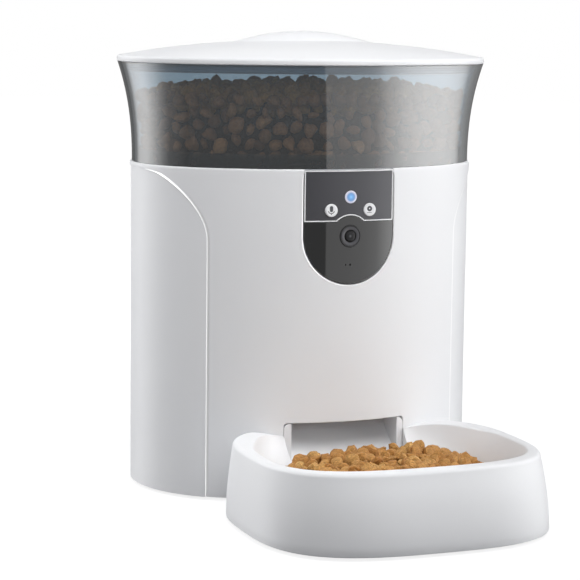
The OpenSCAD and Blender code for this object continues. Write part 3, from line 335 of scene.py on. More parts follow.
def wall(s, depth=0.0):
    """Points of the outline, depth mm inside it, and their outward normals."""
    s = (np.asarray(s, float) + ROUND / 2) % ROUND - ROUND / 2
    q = np.abs(s)
    front, back = q < FRONT_RUN, q > FRONT_RUN + SIDE_RUN
    angle = np.where(front, q / FRONT_R, np.where(
        back, math.pi - TURN + (q - FRONT_RUN - SIDE_RUN) / FRONT_R, TURN + (q - FRONT_RUN) / SIDE_R))
    mid_x = np.where(front | back, 0.0, SIDE_CX)
    mid_y = np.where(front, FRONT_CY, np.where(back, -FRONT_CY, 0.0))
    radius = np.where(front | back, FRONT_R, SIDE_R) - depth
    nx, ny, side = np.sin(angle), -np.cos(angle), np.where(s < 0, -1.0, 1.0)
    return (np.stack([side * (mid_x + radius * nx), mid_y + radius * ny], -1),
            np.stack([side * nx, ny], -1))


print("outline", round(ROUND, 1), "mm round")


# %% Places on the outline
def s_at_x(x):
    """Place along the outline of a point of the front that is x mm from the middle."""
    return FRONT_R * np.arcsin(np.asarray(x, float) / FRONT_R)


def s_at_y(y, depth=0.0):
    """Place along the outline, on the +X side, of a point at depth y from the middle."""
    y = np.asarray(y, float)
    front = np.arccos(np.clip((FRONT_CY - y) / (FRONT_R - depth), -1, 1))
    side = np.arccos(np.clip(-y / (SIDE_R - depth), -1, 1))
    on_arc = y < -math.cos(TURN) * (SIDE_R - depth)
    return np.where(on_arc, FRONT_R * front, FRONT_RUN + SIDE_R * (side - TURN))


def oval(grow, z, count=240, share=1.0):
    """A ring of points on the outline, grown by a number of mm."""
    s = np.arange(count) * ROUND / count
    flat = wall(s, -grow)[0] * share
    return np.column_stack([flat, np.full(count, z)])


def grown(flat):
    """How far points of the plan lie outside the body's outline, and the outward normals."""
    x, y = flat[:, 0], flat[:, 1]
    front = np.abs(y) * SIDE_CX > FRONT_CY * (np.abs(x) - SIDE_CX)
    mid = np.column_stack([np.where(front, 0.0, np.copysign(SIDE_CX, x)),
                           np.where(front, np.copysign(FRONT_CY, -y), 0.0)])
    way = flat - mid
    far = np.linalg.norm(way, axis=1)
    return far - np.where(front, FRONT_R, SIDE_R), way / far[:, None]


# %% [markdown]
# ## From rings to pieces
# Most pieces are rings of points joined like the staves of a barrel, which is called a loft. A turned
# shape is the same with circles for rings. They could be modelled by hand or by a stack of modifiers, but
# lists of points keep every size in sight. A finished piece rides on its CAD body in place of CAD nodes.

# %% Meshes and pieces
MERGE_M = 1e-6


def cleaned(mesh):
    """Merges doubles, drops faces without an area and turns all faces outwards."""
    work = bmesh.new()
    work.from_mesh(mesh)
    bmesh.ops.remove_doubles(work, verts=work.verts, dist=MERGE_M)
    bmesh.ops.dissolve_degenerate(work, edges=work.edges, dist=MERGE_M)
    bmesh.ops.recalc_face_normals(work, faces=work.faces)
    work.to_mesh(mesh)
    work.free()


def smoothed(mesh, sharp):
    """Smooth shading that breaks at edges of more than so many degrees."""
    mesh.shade_smooth()
    mesh.set_sharp_from_angle(angle=math.radians(sharp))


def piece(name, finish, points, faces, normals=None, sharp=38):
    """Makes an object from points in mm about the body's axis, and puts it in the frame."""
    flat = np.asarray(points, float) + (0, AXIS_Y, 0)
    mesh = bpy.data.meshes.new(name)
    mesh.from_pydata((flat * MM).tolist(), [], faces)
    if normals is None:
        cleaned(mesh)
        smoothed(mesh, sharp)
    else:
        mesh.shade_smooth()
        mesh.normals_split_custom_set(normals)
    mesh.materials.append(finish)
    return in_scene(name, mesh)


print("points closer than", MERGE_M, "m are merged")


# %% Lofts and turned shapes
def loft(rings, caps=True):
    """Joins closed rings of equal count; the two ends are closed by fans."""
    count = len(rings[0])
    points = [tuple(p) for ring in rings for p in ring]
    faces = []
    for k in range(len(rings) - 1):
        a, b = k * count, (k + 1) * count
        faces += [(a + i, a + (i + 1) % count, b + (i + 1) % count, b + i) for i in range(count)]
    for start in (0, (len(rings) - 1) * count) if caps else ():
        points.append(tuple(np.mean(points[start:start + count], axis=0)))
        faces += [(start + i, start + (i + 1) % count, len(points) - 1) for i in range(count)]
    return points, faces


def spun(x, y, profile, count=64):
    """Rings about an upright line, from a profile of (radius, z)."""
    turn = np.arange(count) * 2 * math.pi / count
    return [np.column_stack([x + r * np.cos(turn), y + r * np.sin(turn), np.full(count, z)])
            for r, z in profile]


def facing_front(x, z, profile, count=64):
    """Rings about a line along Y, from a profile of (radius, y)."""
    return [ring[:, (0, 2, 1)] for ring in spun(x, z, profile, count)]


def joined(*parts):
    """Several (points, faces) lists as one."""
    points, faces = [], []
    for more_points, more_faces in parts:
        base = len(points)
        points += [tuple(p) for p in more_points]
        faces += [tuple(base + i for i in f) for f in more_faces]
    return points, faces


print("a turned ring has", len(spun(0, 0, [(1, 0)])[0]), "points")


# %% Pieces on their bodies
def dress(made, body, slot, *nodes):
    """Lets a finished piece ride on its body in place of its CAD nodes."""
    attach(made, body)
    if nodes:
        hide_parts(*nodes)
    print(made.name, len(made.data.polygons), "faces")
    return made


# %% [markdown]
# ## A moulded sheet with rounded edges
# A shell or a panel is a closed outline with holes in it. Its edge is a quarter round, made of a few
# rings that move inwards as they rise. The flat inside is filled with triangles over a light grid, so
# that it can bend. Exact normals are stored on every corner, which keeps the reflections calm.

# %% Lines, arcs and holes of a flat outline
def line(a, b, step=2.0):
    """Points from a up to, but not with, b."""
    count = max(1, int(math.ceil(math.dist(a, b) / step)))
    t = np.arange(count)[:, None] / count
    return np.asarray(a, float) * (1 - t) + np.asarray(b, float) * t


def arc(mid, r, start, end, step_mm=0.9):
    """Points on an arc, in degrees, without the last one."""
    count = max(4, int(math.ceil(abs(math.radians(end - start)) * r / step_mm)))
    a = np.radians(start + (end - start) * np.arange(count) / count)
    return np.column_stack([mid[0] + r * np.cos(a), mid[1] + r * np.sin(a)])


def hole(x, z, r):
    """A round hole, drawn clockwise so that the material lies on its left."""
    return arc((x, z), r, 360, 0, max(0.35, r / 5))


def on_front(flat):
    """Turns (x, z) of the front view into (s, z)."""
    return np.column_stack([s_at_x(flat[:, 0]), flat[:, 1]])


print("a hole of 3 mm is drawn with", len(hole(0, 0, 1.5)), "points")


# %% Fill of a flat outline
def inward(loop):
    """For each corner, the step that moves both its sides 1 mm into the material."""
    before, after = loop - np.roll(loop, 1, 0), np.roll(loop, -1, 0) - loop
    left = [np.column_stack([-d[:, 1], d[:, 0]]) / np.linalg.norm(d, axis=1)[:, None]
            for d in (before, after)]
    share = 1 + (left[0] * left[1]).sum(1)
    return (left[0] + left[1]) / np.maximum(share, 0.35)[:, None]


def inside(points, loops):
    """True for points between the outer loop and the holes."""
    found = np.zeros(len(points), bool)
    for loop in loops:
        for (ax, ay), (bx, by) in zip(loop, np.roll(loop, -1, 0)):
            if ay != by:
                across = (ay > points[:, 1]) != (by > points[:, 1])
                found ^= across & (points[:, 0] < (bx - ax) * (points[:, 1] - ay) / (by - ay) + ax)
    return found


def fill(loops, step):
    """Triangles between the loops, with inner points on a grid. Returns the grid and the triangles."""
    rim = np.vstack(loops)
    low, high = loops[0].min(0), loops[0].max(0)
    grid = np.stack(np.meshgrid(np.arange(low[0] + step[0] / 2, high[0], step[0]),
                                np.arange(low[1] + step[1] / 2, high[1], step[1])), -1).reshape(-1, 2)
    grid = grid[inside(grid, loops)]
    near = np.array([np.min(np.hypot(*(rim - p).T)) for p in grid]) if len(grid) else np.zeros(0)
    grid = grid[near > 0.45 * min(step)]
    edges, base = [], 0
    for loop in loops:
        edges += [(base + i, base + (i + 1) % len(loop)) for i in range(len(loop))]
        base += len(loop)
    every = np.vstack([rim, grid])
    where, _, tris, *_ = delaunay_2d_cdt([Vector(p) for p in every], edges, [], 0, 1e-7)
    assert len(where) == len(every)
    tris = np.array(tris)
    tris = tris[inside(every[tris].mean(1), loops)]
    a, b, c = every[tris[:, 0]], every[tris[:, 1]], every[tris[:, 2]]
    turned = (b - a)[:, 0] * (c - a)[:, 1] - (b - a)[:, 1] * (c - a)[:, 0] < 0
    tris[turned] = tris[turned][:, ::-1]
    return grid, tris


# %% Sheet maker
EDGE_STEPS = 4


def bent(flat, depth):
    """Points of the sheet bent round the body, with the outward normal and the sideways direction."""
    place, out = wall(flat[:, 0], depth)
    z = np.zeros((len(flat), 1))
    along = np.column_stack([-out[:, 1], out[:, 0], z])
    return np.column_stack([place, flat[:, 1]]), np.column_stack([out, z]), along


def sheet(loops, front, back, edge, step=(3.0, 8.0), spread=None):
    """A closed sheet between two depths. Edge is its radius, or a function of the loop's points.

    Spread, a function too, makes the rounding wider than deep, like a soft chamfer."""
    points, normals_at, faces, corner = [], [], [], []

    def put(place, normal):
        start = len(points)
        points.extend(place.tolist())
        normals_at.extend(normal.tolist())
        return np.arange(start, start + len(place))

    last, rear = [], []
    for loop in loops:
        step_in = inward(loop)
        away = -step_in / np.linalg.norm(step_in, axis=1)[:, None]
        r = np.maximum(edge(loop) if callable(edge) else np.full(len(loop), edge), 0.02)
        wide = spread(loop, r) if spread else np.ones(len(loop))
        ids = []
        for k in range(EDGE_STEPS + 1):
            c, d = math.cos(k * math.pi / 2 / EDGE_STEPS), math.sin(k * math.pi / 2 / EDGE_STEPS)
            flat = loop + step_in * (r * wide * (1 - c))[:, None]
            place, out, along = bent(flat, front + r * (1 - d))
            side = along * away[:, :1] + np.array([0, 0, 1.0]) * away[:, 1:]
            facing = out * d * wide[:, None] + side * c
            ids.append(put(place, facing / np.linalg.norm(facing, axis=1)[:, None]))
        last.append(flat)
        place, out, along = bent(loop, np.full(len(loop), back))
        side = along * away[:, :1] + np.array([0, 0, 1.0]) * away[:, 1:]
        ids.insert(0, put(place, side))
        rear.append((loop, ids[0]))
        for a, b in zip(ids, ids[1:]):
            for i in range(len(loop)):
                j = (i + 1) % len(loop)
                faces.append((a[i], a[j], b[j], b[i]))
        rear[-1] += (ids[-1],)
    grid, tris = fill(last, step)
    for depth, which, sign in ((front, 2, 1), (back, 1, -1)):
        place, out, _ = bent(grid, np.full(len(grid), depth))
        face_ids = np.concatenate([r[which] for r in rear] + [put(place, out * sign)])
        faces += [tuple(face_ids[t] if sign > 0 else face_ids[t][::-1]) for t in tris]
    rear_rim = {int(i) for _, ids, _ in rear for i in ids}
    out = grown(np.array(points)[:, :2])[1]
    for n, face in enumerate(faces):
        flat_back = n >= len(faces) - len(tris)
        for i in face:
            on_rim = flat_back and int(i) in rear_rim
            corner.append((-out[i][0], -out[i][1], 0.0) if on_rim else tuple(normals_at[i]))
    return points, [tuple(int(i) for i in f) for f in faces], corner


print("sheet maker ready, edges of", EDGE_STEPS, "steps")

# %% [markdown]
# ## Front and rear shells
# The front shell stands 0.8 mm proud of the rear one. Its edge runs straight up the side and then turns
# back in a wide shoulder under the collar. In the flat sheet that seam is a line and an arc, so both
# shells are drawn from the same numbers, 0.15 mm apart. The front shell's edge is a soft chamfer, covered
# with a pale mirror metal that stands in for the bright highlight line along the seam.

# %% Seam and edges
FOOT_Z, COLLAR_Z, BODY_Z = 2.0, 208.4, 211.0
SEAM_Y, SEAM_GAP, SEAM_SIDE_X = -57.79, 0.15, 70.0
SHOULDER_R, SHOULDER_Z = 42.0, 165.5
SHELL_STEP, SHELL_T = 0.8, 2.6
PANEL_R, SEAT_GAP = 30.0, 0.45
MOUTH_W, MOUTH_TOP, MOUTH_SILL, MOUTH_R = 41.0, 51.0, 12.0, 1.8
SHELL_EDGE, MOUTH_EDGE, EDGE_SPREAD, RUN_OUT = 1.0, 0.6, 3.2, 6.0


def seam(gap, depth):
    """The seam on the +X side from bottom to top, as (s, z)."""
    y0, mid_y = SEAM_Y + gap, SEAM_Y + SHOULDER_R
    path = np.vstack([line((y0, FOOT_Z), (y0, SHOULDER_Z)),
                      arc((mid_y, SHOULDER_Z), SHOULDER_R - gap, 180, 90),
                      [(mid_y + gap, SHOULDER_Z + SHOULDER_R - gap), (mid_y + gap, COLLAR_Z)]])
    return np.column_stack([s_at_y(path[:, 0], depth), path[:, 1]])


def shell_edge(loop):
    """Full radius, smaller round the chute, flush under the collar and thinner in the shoulder's tip."""
    full = MOUTH_EDGE if loop[:, 1].max() < MOUTH_TOP + 1 else SHELL_EDGE
    room = np.clip(0.45 * (COLLAR_Z - loop[:, 1]), 0, full)
    return np.where(loop[:, 1] > COLLAR_Z - 0.01, 0.02, np.maximum(room, 0.1))


def seam_spread(loop, r):
    """Along the side seams the edge is a soft chamfer, which runs out at the foot and under the collar."""
    low, high = (loop[:, 1] - FOOT_Z) / RUN_OUT, 0.8 * (COLLAR_Z - loop[:, 1]) / r
    full = np.clip(np.minimum(1 + (EDGE_SPREAD - 1) * low, high), 1.0, EDGE_SPREAD)
    return np.where(np.abs(loop[:, 0]) > float(s_at_x(SEAM_SIDE_X)), full, 1.0)


def rear_edge(loop):
    """Crisp along the seam, so that the step of the front shell shows; a small break round the holes."""
    return np.full(len(loop), 0.3 if np.ptp(loop[:, 0]) < 20 else 0.08)


edge_line = seam(0.0, 0.0)
print("the seam's foot lies", round(float(edge_line[0, 0]), 1), "mm along the outline")

# %% Front shell
left_edge = edge_line[::-1] * (-1, 1)
seat_x = PANEL_R + SEAT_GAP
seat = on_front(np.vstack([line((seat_x, COLLAR_Z), (seat_x, LENS_Z)),
                           arc((0, LENS_Z), seat_x, 0, -180),
                           line((-seat_x, LENS_Z), (-seat_x, COLLAR_Z)), [(-seat_x, COLLAR_Z)]]))
front_loop = np.vstack([
    line(left_edge[-1], edge_line[0]), edge_line[:-1],
    line(edge_line[-1], seat[0]), seat[:-1],
    line(seat[-1], left_edge[0]), left_edge[:-1]])
mouth_mid, mouth_turn = MOUTH_W - MOUTH_R, MOUTH_TOP - MOUTH_R
mouth_loop = on_front(np.vstack([
    line((-MOUTH_W, MOUTH_SILL), (-MOUTH_W, mouth_turn)),
    arc((-mouth_mid, mouth_turn), MOUTH_R, 180, 90),
    line((-mouth_mid, MOUTH_TOP), (mouth_mid, MOUTH_TOP)),
    arc((mouth_mid, mouth_turn), MOUTH_R, 90, 0),
    line((MOUTH_W, mouth_turn), (MOUTH_W, MOUTH_SILL)),
    line((MOUTH_W, MOUTH_SILL), (-MOUTH_W, MOUTH_SILL))]))
front_sheet = sheet([front_loop, mouth_loop], 0.0, SHELL_T, shell_edge, spread=seam_spread)
front_shell = dress(piece("front_shell_skin", abs_white, *front_sheet), "housing", "white_abs", "front_shell")
# The highlight metal takes the edge's flank and all bands of its rounding but the innermost.
front_shell.data.materials.append(seam_highlight_foil)
for face in front_shell.data.polygons[:EDGE_STEPS * len(front_loop)]:
    face.material_index = 1

# %% Rear shell
SPEAKER_Z, GRILLE_R = 126.0, 1.5
JACK_X, JACK_Z, JACK_R = 65.5, 16.0, 4.5
rear_line = seam(SEAM_GAP, SHELL_STEP)
far_line = rear_line * (-1, 1) + (ROUND, 0)
grille = [(r * math.cos(a), r * math.sin(a)) for r, n in ((0, 1), (7, 8), (13, 12))
          for a in [2 * math.pi * i / n for i in range(n)]]
rear_holes = [hole(ROUND / 2 - x, SPEAKER_Z + z, GRILLE_R) for x, z in grille]
rear_holes.append(hole(ROUND / 2 - float(s_at_x(JACK_X)), JACK_Z, JACK_R))
rear_loop = np.vstack([line(rear_line[0], far_line[0]), far_line[:-1],
                       line(far_line[-1], rear_line[-1]), rear_line[::-1][:-1]])
rear_sheet = sheet([rear_loop] + rear_holes, SHELL_STEP, SHELL_STEP + SHELL_T, rear_edge)
dress(piece("rear_shell_skin", abs_white, *rear_sheet), "housing", "white_abs", "rear_shell")

# %% [markdown]
# ## The collar
# A thin ring closes the body's top and carries the tank. Its rounded upper edge is the bright line that
# runs round the body. It is one cross-section carried along the outline; where the dark panel reaches
# the top, the section is cut back to make room for it.

# %% Collar
COLLAR_IN, COLLAR_LIP, COLLAR_ROUND, LIP_AT = 6.0, 5.0, 1.0, 3.7
PANEL_ROOM, PAD_ROOM = 2.1, 4.3
quarter = [k * math.pi / 12 for k in range(7)]
section = ([(0.0, COLLAR_Z)]
           + [(COLLAR_ROUND * (1 - math.cos(a)), BODY_Z - COLLAR_ROUND * (1 - math.sin(a))) for a in quarter]
           + [(COLLAR_IN - 0.5, BODY_Z), (COLLAR_IN, BODY_Z - 0.5), (COLLAR_IN, COLLAR_Z - COLLAR_LIP),
              (LIP_AT, COLLAR_Z - COLLAR_LIP), (LIP_AT, COLLAR_Z)])
# Zone 2 is in front of the panel, zone 1 beside it over the pad, zone 0 the rest of the way round.
panel_end, pad_end = float(s_at_x(PANEL_R + 0.1)), float(s_at_x(PANEL_R + 4))
stations = [(float(s), 0 if abs(s) > pad_end else 1 if abs(s) > panel_end else 2)
            for s in np.arange(-120, 120) * ROUND / 240]
for zone, s in ((2, panel_end), (1, pad_end)):
    stations += [(s, zone), (s + 1e-4, zone - 1), (-s, zone), (-s - 1e-4, zone - 1)]
rings = []
for s, zone in sorted(stations):
    depth = np.array([max(d, PANEL_ROOM if zone == 2 else 0.0,
                          PAD_ROOM if zone and d >= LIP_AT and z <= COLLAR_Z else 0.0) for d, z in section])
    ring = wall(np.full(len(section), s), depth)[0]
    rings.append(np.column_stack([ring, [z for _, z in section]]))
dress(piece("top_collar_ring", abs_white, *loft(rings + rings[:1], caps=False)),
      "housing", "white_abs", "top_collar")

# %% [markdown]
# ## Inside of the shells
# Behind the panel the front shell has a thicker pad with ways through for the lens, the lamp and the
# buttons, and each shell has two screw columns. They show when the tank is lifted out.

# %% Pad and screw columns
LIGHT_Z, BUTTON_Z, BUTTON_X, BUTTON_R, LIGHT_R = 193.6, 185.4, 12.9, 4.1, 4.0
MIC_Z, BUTTON_PLAY = 151.0, 0.08
button_holes = [(side * BUTTON_X, BUTTON_Z, BUTTON_R + BUTTON_PLAY) for side in (1, -1)]


def front_holes(*places):
    """Holes of the front, from rows of (x, z, radius)."""
    return [on_front(hole(x, z, r)) for x, z, r in places]


def column(x, y, r, low, high):
    """A screw column with broken edges and a pilot hole in its foot."""
    return loft(spun(x, y, [(r * 0.35, low + 12), (r * 0.35, low), (r - 0.3, low), (r, low + 0.3),
                            (r, high - 0.3), (r - 0.3, high)], 32))


pad_x, pad_top = PANEL_R + 3, COLLAR_Z - 0.2
pad_loop = on_front(np.vstack([
    arc((0, LENS_Z), pad_x, 180, 360), line((pad_x, LENS_Z), (pad_x, pad_top)),
    line((pad_x, pad_top), (-pad_x, pad_top)), line((-pad_x, pad_top), (-pad_x, LENS_Z))]))
pad_holes = front_holes((0, LENS_Z, 6.4), (0, LIGHT_Z, 3.2), (0, MIC_Z, 1.0), *button_holes)
dress(piece("panel_pad", abs_white, *sheet([pad_loop] + pad_holes, 2.65, 4.0, 0.1, (4.0, 6.0))),
      "housing", "white_abs")
SCREW_PLACES = [(98.6, 18.1), (-98.6, 18.1), (53.4, -64.35), (-53.4, -64.35)]
dress(piece("screw_columns", abs_white, *joined(*[column(x, y, 4.0, 5.0, 39.0) for x, y in SCREW_PLACES])),
      "housing", "white_abs")

# %% [markdown]
# ## The camera panel
# A dark gloss window round the lens and a satin control head above it, with a thin light line round the
# head that arches over the lens. All three are sheets of the same kind as the shells, only thinner.

# %% Window, control head and trim line
SPLIT_Z, ARCH_R, TRIM_T, PANEL_TOP, FIT = 178.2, 13.0, 0.8, 210.3, 0.05
PANEL_GRID = (3.0, 3.0)


def arch(z, r):
    """Half width at height z of an arch of radius r over the lens, and the angle of its foot."""
    foot = math.sqrt(r * r - (z - LENS_Z) ** 2)
    return foot, math.degrees(math.atan2(z - LENS_Z, foot))


def head_loop(inset, top):
    """Outline of the control head, set in by a number of mm."""
    x, z, r = PANEL_R - inset, SPLIT_Z + inset, ARCH_R + inset
    foot, a = arch(z, r)
    return on_front(np.vstack([
        line((-x, z), (-foot, z)), arc((0, LENS_Z), r, 180 - a, a), line((foot, z), (x, z)),
        line((x, z), (x, top)), line((x, top), (-x, top)), line((-x, top), (-x, z))]))


def window_edge(loop):
    """A smaller rounding in the holes than round the window."""
    return np.full(len(loop), 0.2 if np.ptp(loop[:, 1]) < 20 else 0.35)


window_top, window_r = SPLIT_Z - FIT, ARCH_R - FIT
foot, a = arch(window_top, window_r)
window_loop = on_front(np.vstack([
    line((-PANEL_R, window_top), (-PANEL_R, LENS_Z)), arc((0, LENS_Z), PANEL_R, 180, 360),
    line((PANEL_R, LENS_Z), (PANEL_R, window_top)), line((PANEL_R, window_top), (foot, window_top)),
    arc((0, LENS_Z), window_r, a, 180 - a), line((-foot, window_top), (-PANEL_R, window_top))]))
window_holes = front_holes((0, LENS_Z, 7.05), (0, MIC_Z, 0.6), (-3, MIC_Z, 0.45))
window_sheet = sheet([window_loop] + window_holes, 0.1, 2.0, window_edge, PANEL_GRID)
dress(piece("camera_window_sheet", pmma_black, *window_sheet), "housing", "black_gloss", "camera_window")
head_holes = front_holes((0, LIGHT_Z, LIGHT_R + FIT), *button_holes)
head_base = sheet([head_loop(FIT, PANEL_TOP)] + head_holes, 0.3, 2.0, 0.1, PANEL_GRID)
head_face = sheet([head_loop(TRIM_T + 0.02, PANEL_TOP - TRIM_T)] + head_holes, 0.1, 0.35, 0.15, PANEL_GRID)
control_head = piece("control_head_sheet", abs_panel, *joined(head_base[:2], head_face[:2]),
                     head_base[2] + head_face[2])
dress(control_head, "housing", "dark_gloss", "control_panel")
trim_hole = head_loop(TRIM_T, PANEL_TOP - TRIM_T)[::-1]
trim_sheet = sheet([head_loop(FIT, PANEL_TOP), trim_hole], 0.0, 0.35, 0.2)
dress(piece("trim_line", trim_light, *trim_sheet), "housing", "trim_grey", "panel_trim")

# %% [markdown]
# ## Lens, lamp and buttons
# These are turned shapes. The lens ring has a black groove, a satin cone and a bore with a convex coated
# glass in it. The lamp is a diffuser that is bluest in the middle, with a pale rim. Each button has a
# shallow dish, a rounded edge, and the flange that keeps it in the panel.

# %% Lens ring and glass
GROOVE_R, BORE_R, DOME_R, DOME_RISE = 5.98, 4.2, 3.6, 0.75
ring_profile = [(2.94, -82.0), (2.94, -84.4), (3.75, -84.4), (3.78, -85.4), (4.1, -85.75), (4.5, -85.86),
                (5.9, -86.05), (6.05, -86.02), (6.1, -85.9), (6.3, -85.9), (6.35, -86.15), (6.5, -86.3),
                (6.8, -86.28), (6.97, -86.1), (7.0, -85.8), (7.0, -84.0), (6.35, -84.0), (6.35, -82.0)]
ring_loops = facing_front(0, LENS_Z, ring_profile + ring_profile[:1], 72)
lens_ring = piece("lens_ring_turned", abs_ring, *loft(ring_loops, caps=False), sharp=30)
lens_ring.data.materials.append(abs_black)
for face in lens_ring.data.polygons:
    out = math.hypot(face.center.x / MM, face.center.z / MM - LENS_Z)
    face.material_index = 1 if out > GROOVE_R or out < BORE_R else 0
dress(lens_ring, "housing", "black_satin", "lens_ring")
dome_profile = [(0, -84.4), (3.7, -84.4), (3.74, -85.2)] + [
    (DOME_R * math.cos(a), -85.25 - DOME_RISE * math.sin(a)) for a in [k * math.pi / 16 for k in range(9)]]
dress(piece("lens_glass_dome", lens_coated, *loft(facing_front(0, LENS_Z, dome_profile))),
      "housing", "lens_glass", "lens_glass")

# %% Lamp and buttons
# The lamp's colour falls from a light blue middle to a mid blue and a pale lavender rim.
lamp_blue, tree, mm = new_finish("polycarbonate_diffuser_blue")
blues = add(tree, "ShaderNodeValToRGB", {"Fac": from_middle(tree, mm, LIGHT_Z, LIGHT_R)}, stops=(
    (0.0, "#9AD0F8"), (0.22, "#7DB8EE"), (0.45, "#71A3DB"), (0.62, "#84A5D6"), (0.76, "#D3D6EA"),
    (1.0, "#E6E4F2"))).outputs["Color"]
diffuser = add(tree, "ShaderNodeBsdfPrincipled", {
    "Base Color": blues, "Roughness": 0.3, "IOR": 1.58, "Emission Color": blues, "Emission Strength": 0.1})
add(tree, "ShaderNodeOutputMaterial", {"Surface": diffuser.outputs["BSDF"]})
lamp_profile = [(0, -80.2), (3.1, -80.2), (3.1, -84.0), (4.0, -84.0), (4.0, -85.8), (3.85, -86.05),
                (3.5, -86.12), (3.2, -86.05), (2.0, -86.18), (0.8, -86.24), (0, -86.26)]
dress(piece("status_lamp_turned", lamp_blue, *loft(facing_front(0, LIGHT_Z, lamp_profile))),
      "housing", "light_blue", "status_light")

CAP_Y, FLANGE_Y, STEM_Y = -86.231, -80.625, -79.325
button_profile = [(0, CAP_Y + 0.12), (2.2, CAP_Y + 0.08), (3.3, CAP_Y + 0.01), (3.7, CAP_Y + 0.02),
                  (3.95, CAP_Y + 0.12), (4.08, CAP_Y + 0.32), (4.1, CAP_Y + 0.5), (4.1, FLANGE_Y),
                  (5.2, FLANGE_Y), (5.2, FLANGE_Y + 1), (1.8, FLANGE_Y + 1), (1.8, STEM_Y), (0, STEM_Y)]
for side, body in ((-1, "record_button"), (1, "feed_button")):
    cap_rings = facing_front(side * BUTTON_X, BUTTON_Z, button_profile)
    dress(piece(body + "_cap", abs_button, *loft(cap_rings)), body, "button_white", body)

# %% [markdown]
# ## Signs on the buttons
# One button shows a plain microphone, the other a ring over a short bar. They are printed, so each is a
# film of ink 0.03 mm thick that lies on the cap and moves with it.

# %% Printed signs
INK_T, INK_Y = 0.03, CAP_Y + 0.07


def film(loop):
    """A thin closed plate over an (x, z) outline."""
    front = np.column_stack([loop[:, 0], np.full(len(loop), INK_Y - INK_T), loop[:, 1]])
    return loft([front + (0, 4 * INK_T, 0), front])


def stroke(path, half):
    """A printed line of that half width, as a row of small closed plates joined side by side."""
    d = np.gradient(path, axis=0)
    side = np.column_stack([-d[:, 1], d[:, 0]]) / np.linalg.norm(d, axis=1)[:, None] * half
    top, foot = INK_Y - INK_T, INK_Y + 3 * INK_T
    return loft([np.array([(p[0], y, p[1]) for p, y in ((a, top), (b, top), (b, foot), (a, foot))])
                 for a, b in zip(path + side, path - side)])


record_at, feed_at = (-BUTTON_X, BUTTON_Z + 0.3), (BUTTON_X, BUTTON_Z + 0.2)
capsule = np.vstack([arc((-0.2, 1.5), 1.12, 0, 180, 0.25), arc((-0.2, -0.1), 1.12, 180, 360, 0.25)])
cradle = arc((-0.2, -0.1), 2.1, 192, 348.1, 0.25)
stem = line((-0.2, -2.2), (-0.2, -3.2), 0.3)
ring_path = arc((-0.2, 0.5), 1.08, 0, 375, 0.25)
bar_path = line((-1.9, -2.1), (1.6, -2.1), 0.4)
signs = {"record_button": joined(film(capsule + record_at), stroke(cradle + record_at, 0.22),
                                 stroke(stem + record_at, 0.25)),
         "feed_button": joined(stroke(ring_path + feed_at, 0.6), stroke(bar_path + feed_at, 0.16))}
for body, shape in signs.items():
    dress(piece(body + "_sign", ink_dark, *shape, sharp=30), body, "dark_gloss")

# %% [markdown]
# ## The smoked tank by Geometry Nodes
# The tank's wall follows a rule: one flared profile is carried round the oval. That is a sweep, so a
# geometry tree does it: the outline becomes a curve, a line of points is bent into the wall's section,
# and Curve to Mesh joins them. Height, flare and wall are named inputs that can be played with.

# %% Geometry trees
FLOAT, WHOLE, STUFF, SHAPE, GROUP = ("NodeSocketFloat", "NodeSocketInt", "NodeSocketMaterial",
                                     "NodeSocketObject", "NodeSocketCollection")


def new_tree(name, sizes):
    """An empty geometry tree with a geometry input, a geometry output and named sizes."""
    tree = bpy.data.node_groups.new(name, "GeometryNodeTree")
    tree.interface.new_socket("Geometry", in_out="INPUT", socket_type="NodeSocketGeometry")
    tree.interface.new_socket("Geometry", in_out="OUTPUT", socket_type="NodeSocketGeometry")
    for size, (kind, value) in sizes.items():
        socket = tree.interface.new_socket(size, in_out="INPUT", socket_type=kind)
        if value is not None:
            socket.default_value = value
    return tree, add(tree, "NodeGroupInput").outputs


def end_tree(tree, geometry, finish):
    """Ends a tree with real geometry, because instances aren't exported, and with its finish."""
    whole = add(tree, "GeometryNodeRealizeInstances", {"Geometry": geometry})
    coated = add(tree, "GeometryNodeSetMaterial", {"Geometry": whole.outputs["Geometry"], "Material": finish})
    add(tree, "NodeGroupOutput", {"Geometry": coated.outputs["Geometry"]})
    print("tree", tree.name, "has", len(tree.nodes), "nodes")


def run_tree(tree, points, edges, values, name):
    """Gives points and edges to a geometry tree and returns its result as a plain object."""
    mesh = bpy.data.meshes.new(name + "_source")
    flat = np.asarray(points, float) + (0, AXIS_Y, 0)
    mesh.from_pydata((flat * MM).tolist(), edges, [])
    source = in_scene(name + "_source", mesh)
    modifier = source.modifiers.new("nodes", "NODES")
    modifier.node_group = tree
    for item in tree.interface.items_tree:
        if item.item_type == "SOCKET" and item.in_out == "INPUT" and item.name in values:
            modifier[item.identifier] = values[item.name]
    bpy.context.view_layer.update()
    ready = source.evaluated_get(bpy.context.evaluated_depsgraph_get())
    result = bpy.data.meshes.new_from_object(ready)
    source.modifiers.remove(modifier)
    bpy.data.objects.remove(source)
    return in_scene(name, result)


# %% Geometry tree of the flared wall
TANK_FOOT, TANK_TOP, FLARE_POWER = 211.15, 275.0, 2.3
FLARE, LIP, WALL_T, EXTRA_T = 9.3, 1.4, 3.5, 1.0
tree, given = new_tree("flared_wall", {
    "Foot": (FLOAT, TANK_FOOT * MM), "Height": (FLOAT, (TANK_TOP - TANK_FOOT) * MM),
    "Flare": (FLOAT, FLARE * MM), "Lip": (FLOAT, LIP * MM), "Wall": (FLOAT, WALL_T * MM),
    "Extra Wall": (FLOAT, EXTRA_T * MM), "Steps": (WHOLE, 28), "Finish": (STUFF, None)})
outline = add(tree, "GeometryNodeMeshToCurve", {"Mesh": given["Geometry"]})
upright_curve = add(tree, "GeometryNodeSetCurveNormal", {"Curve": outline.outputs["Curve"]}, mode="Z_UP")
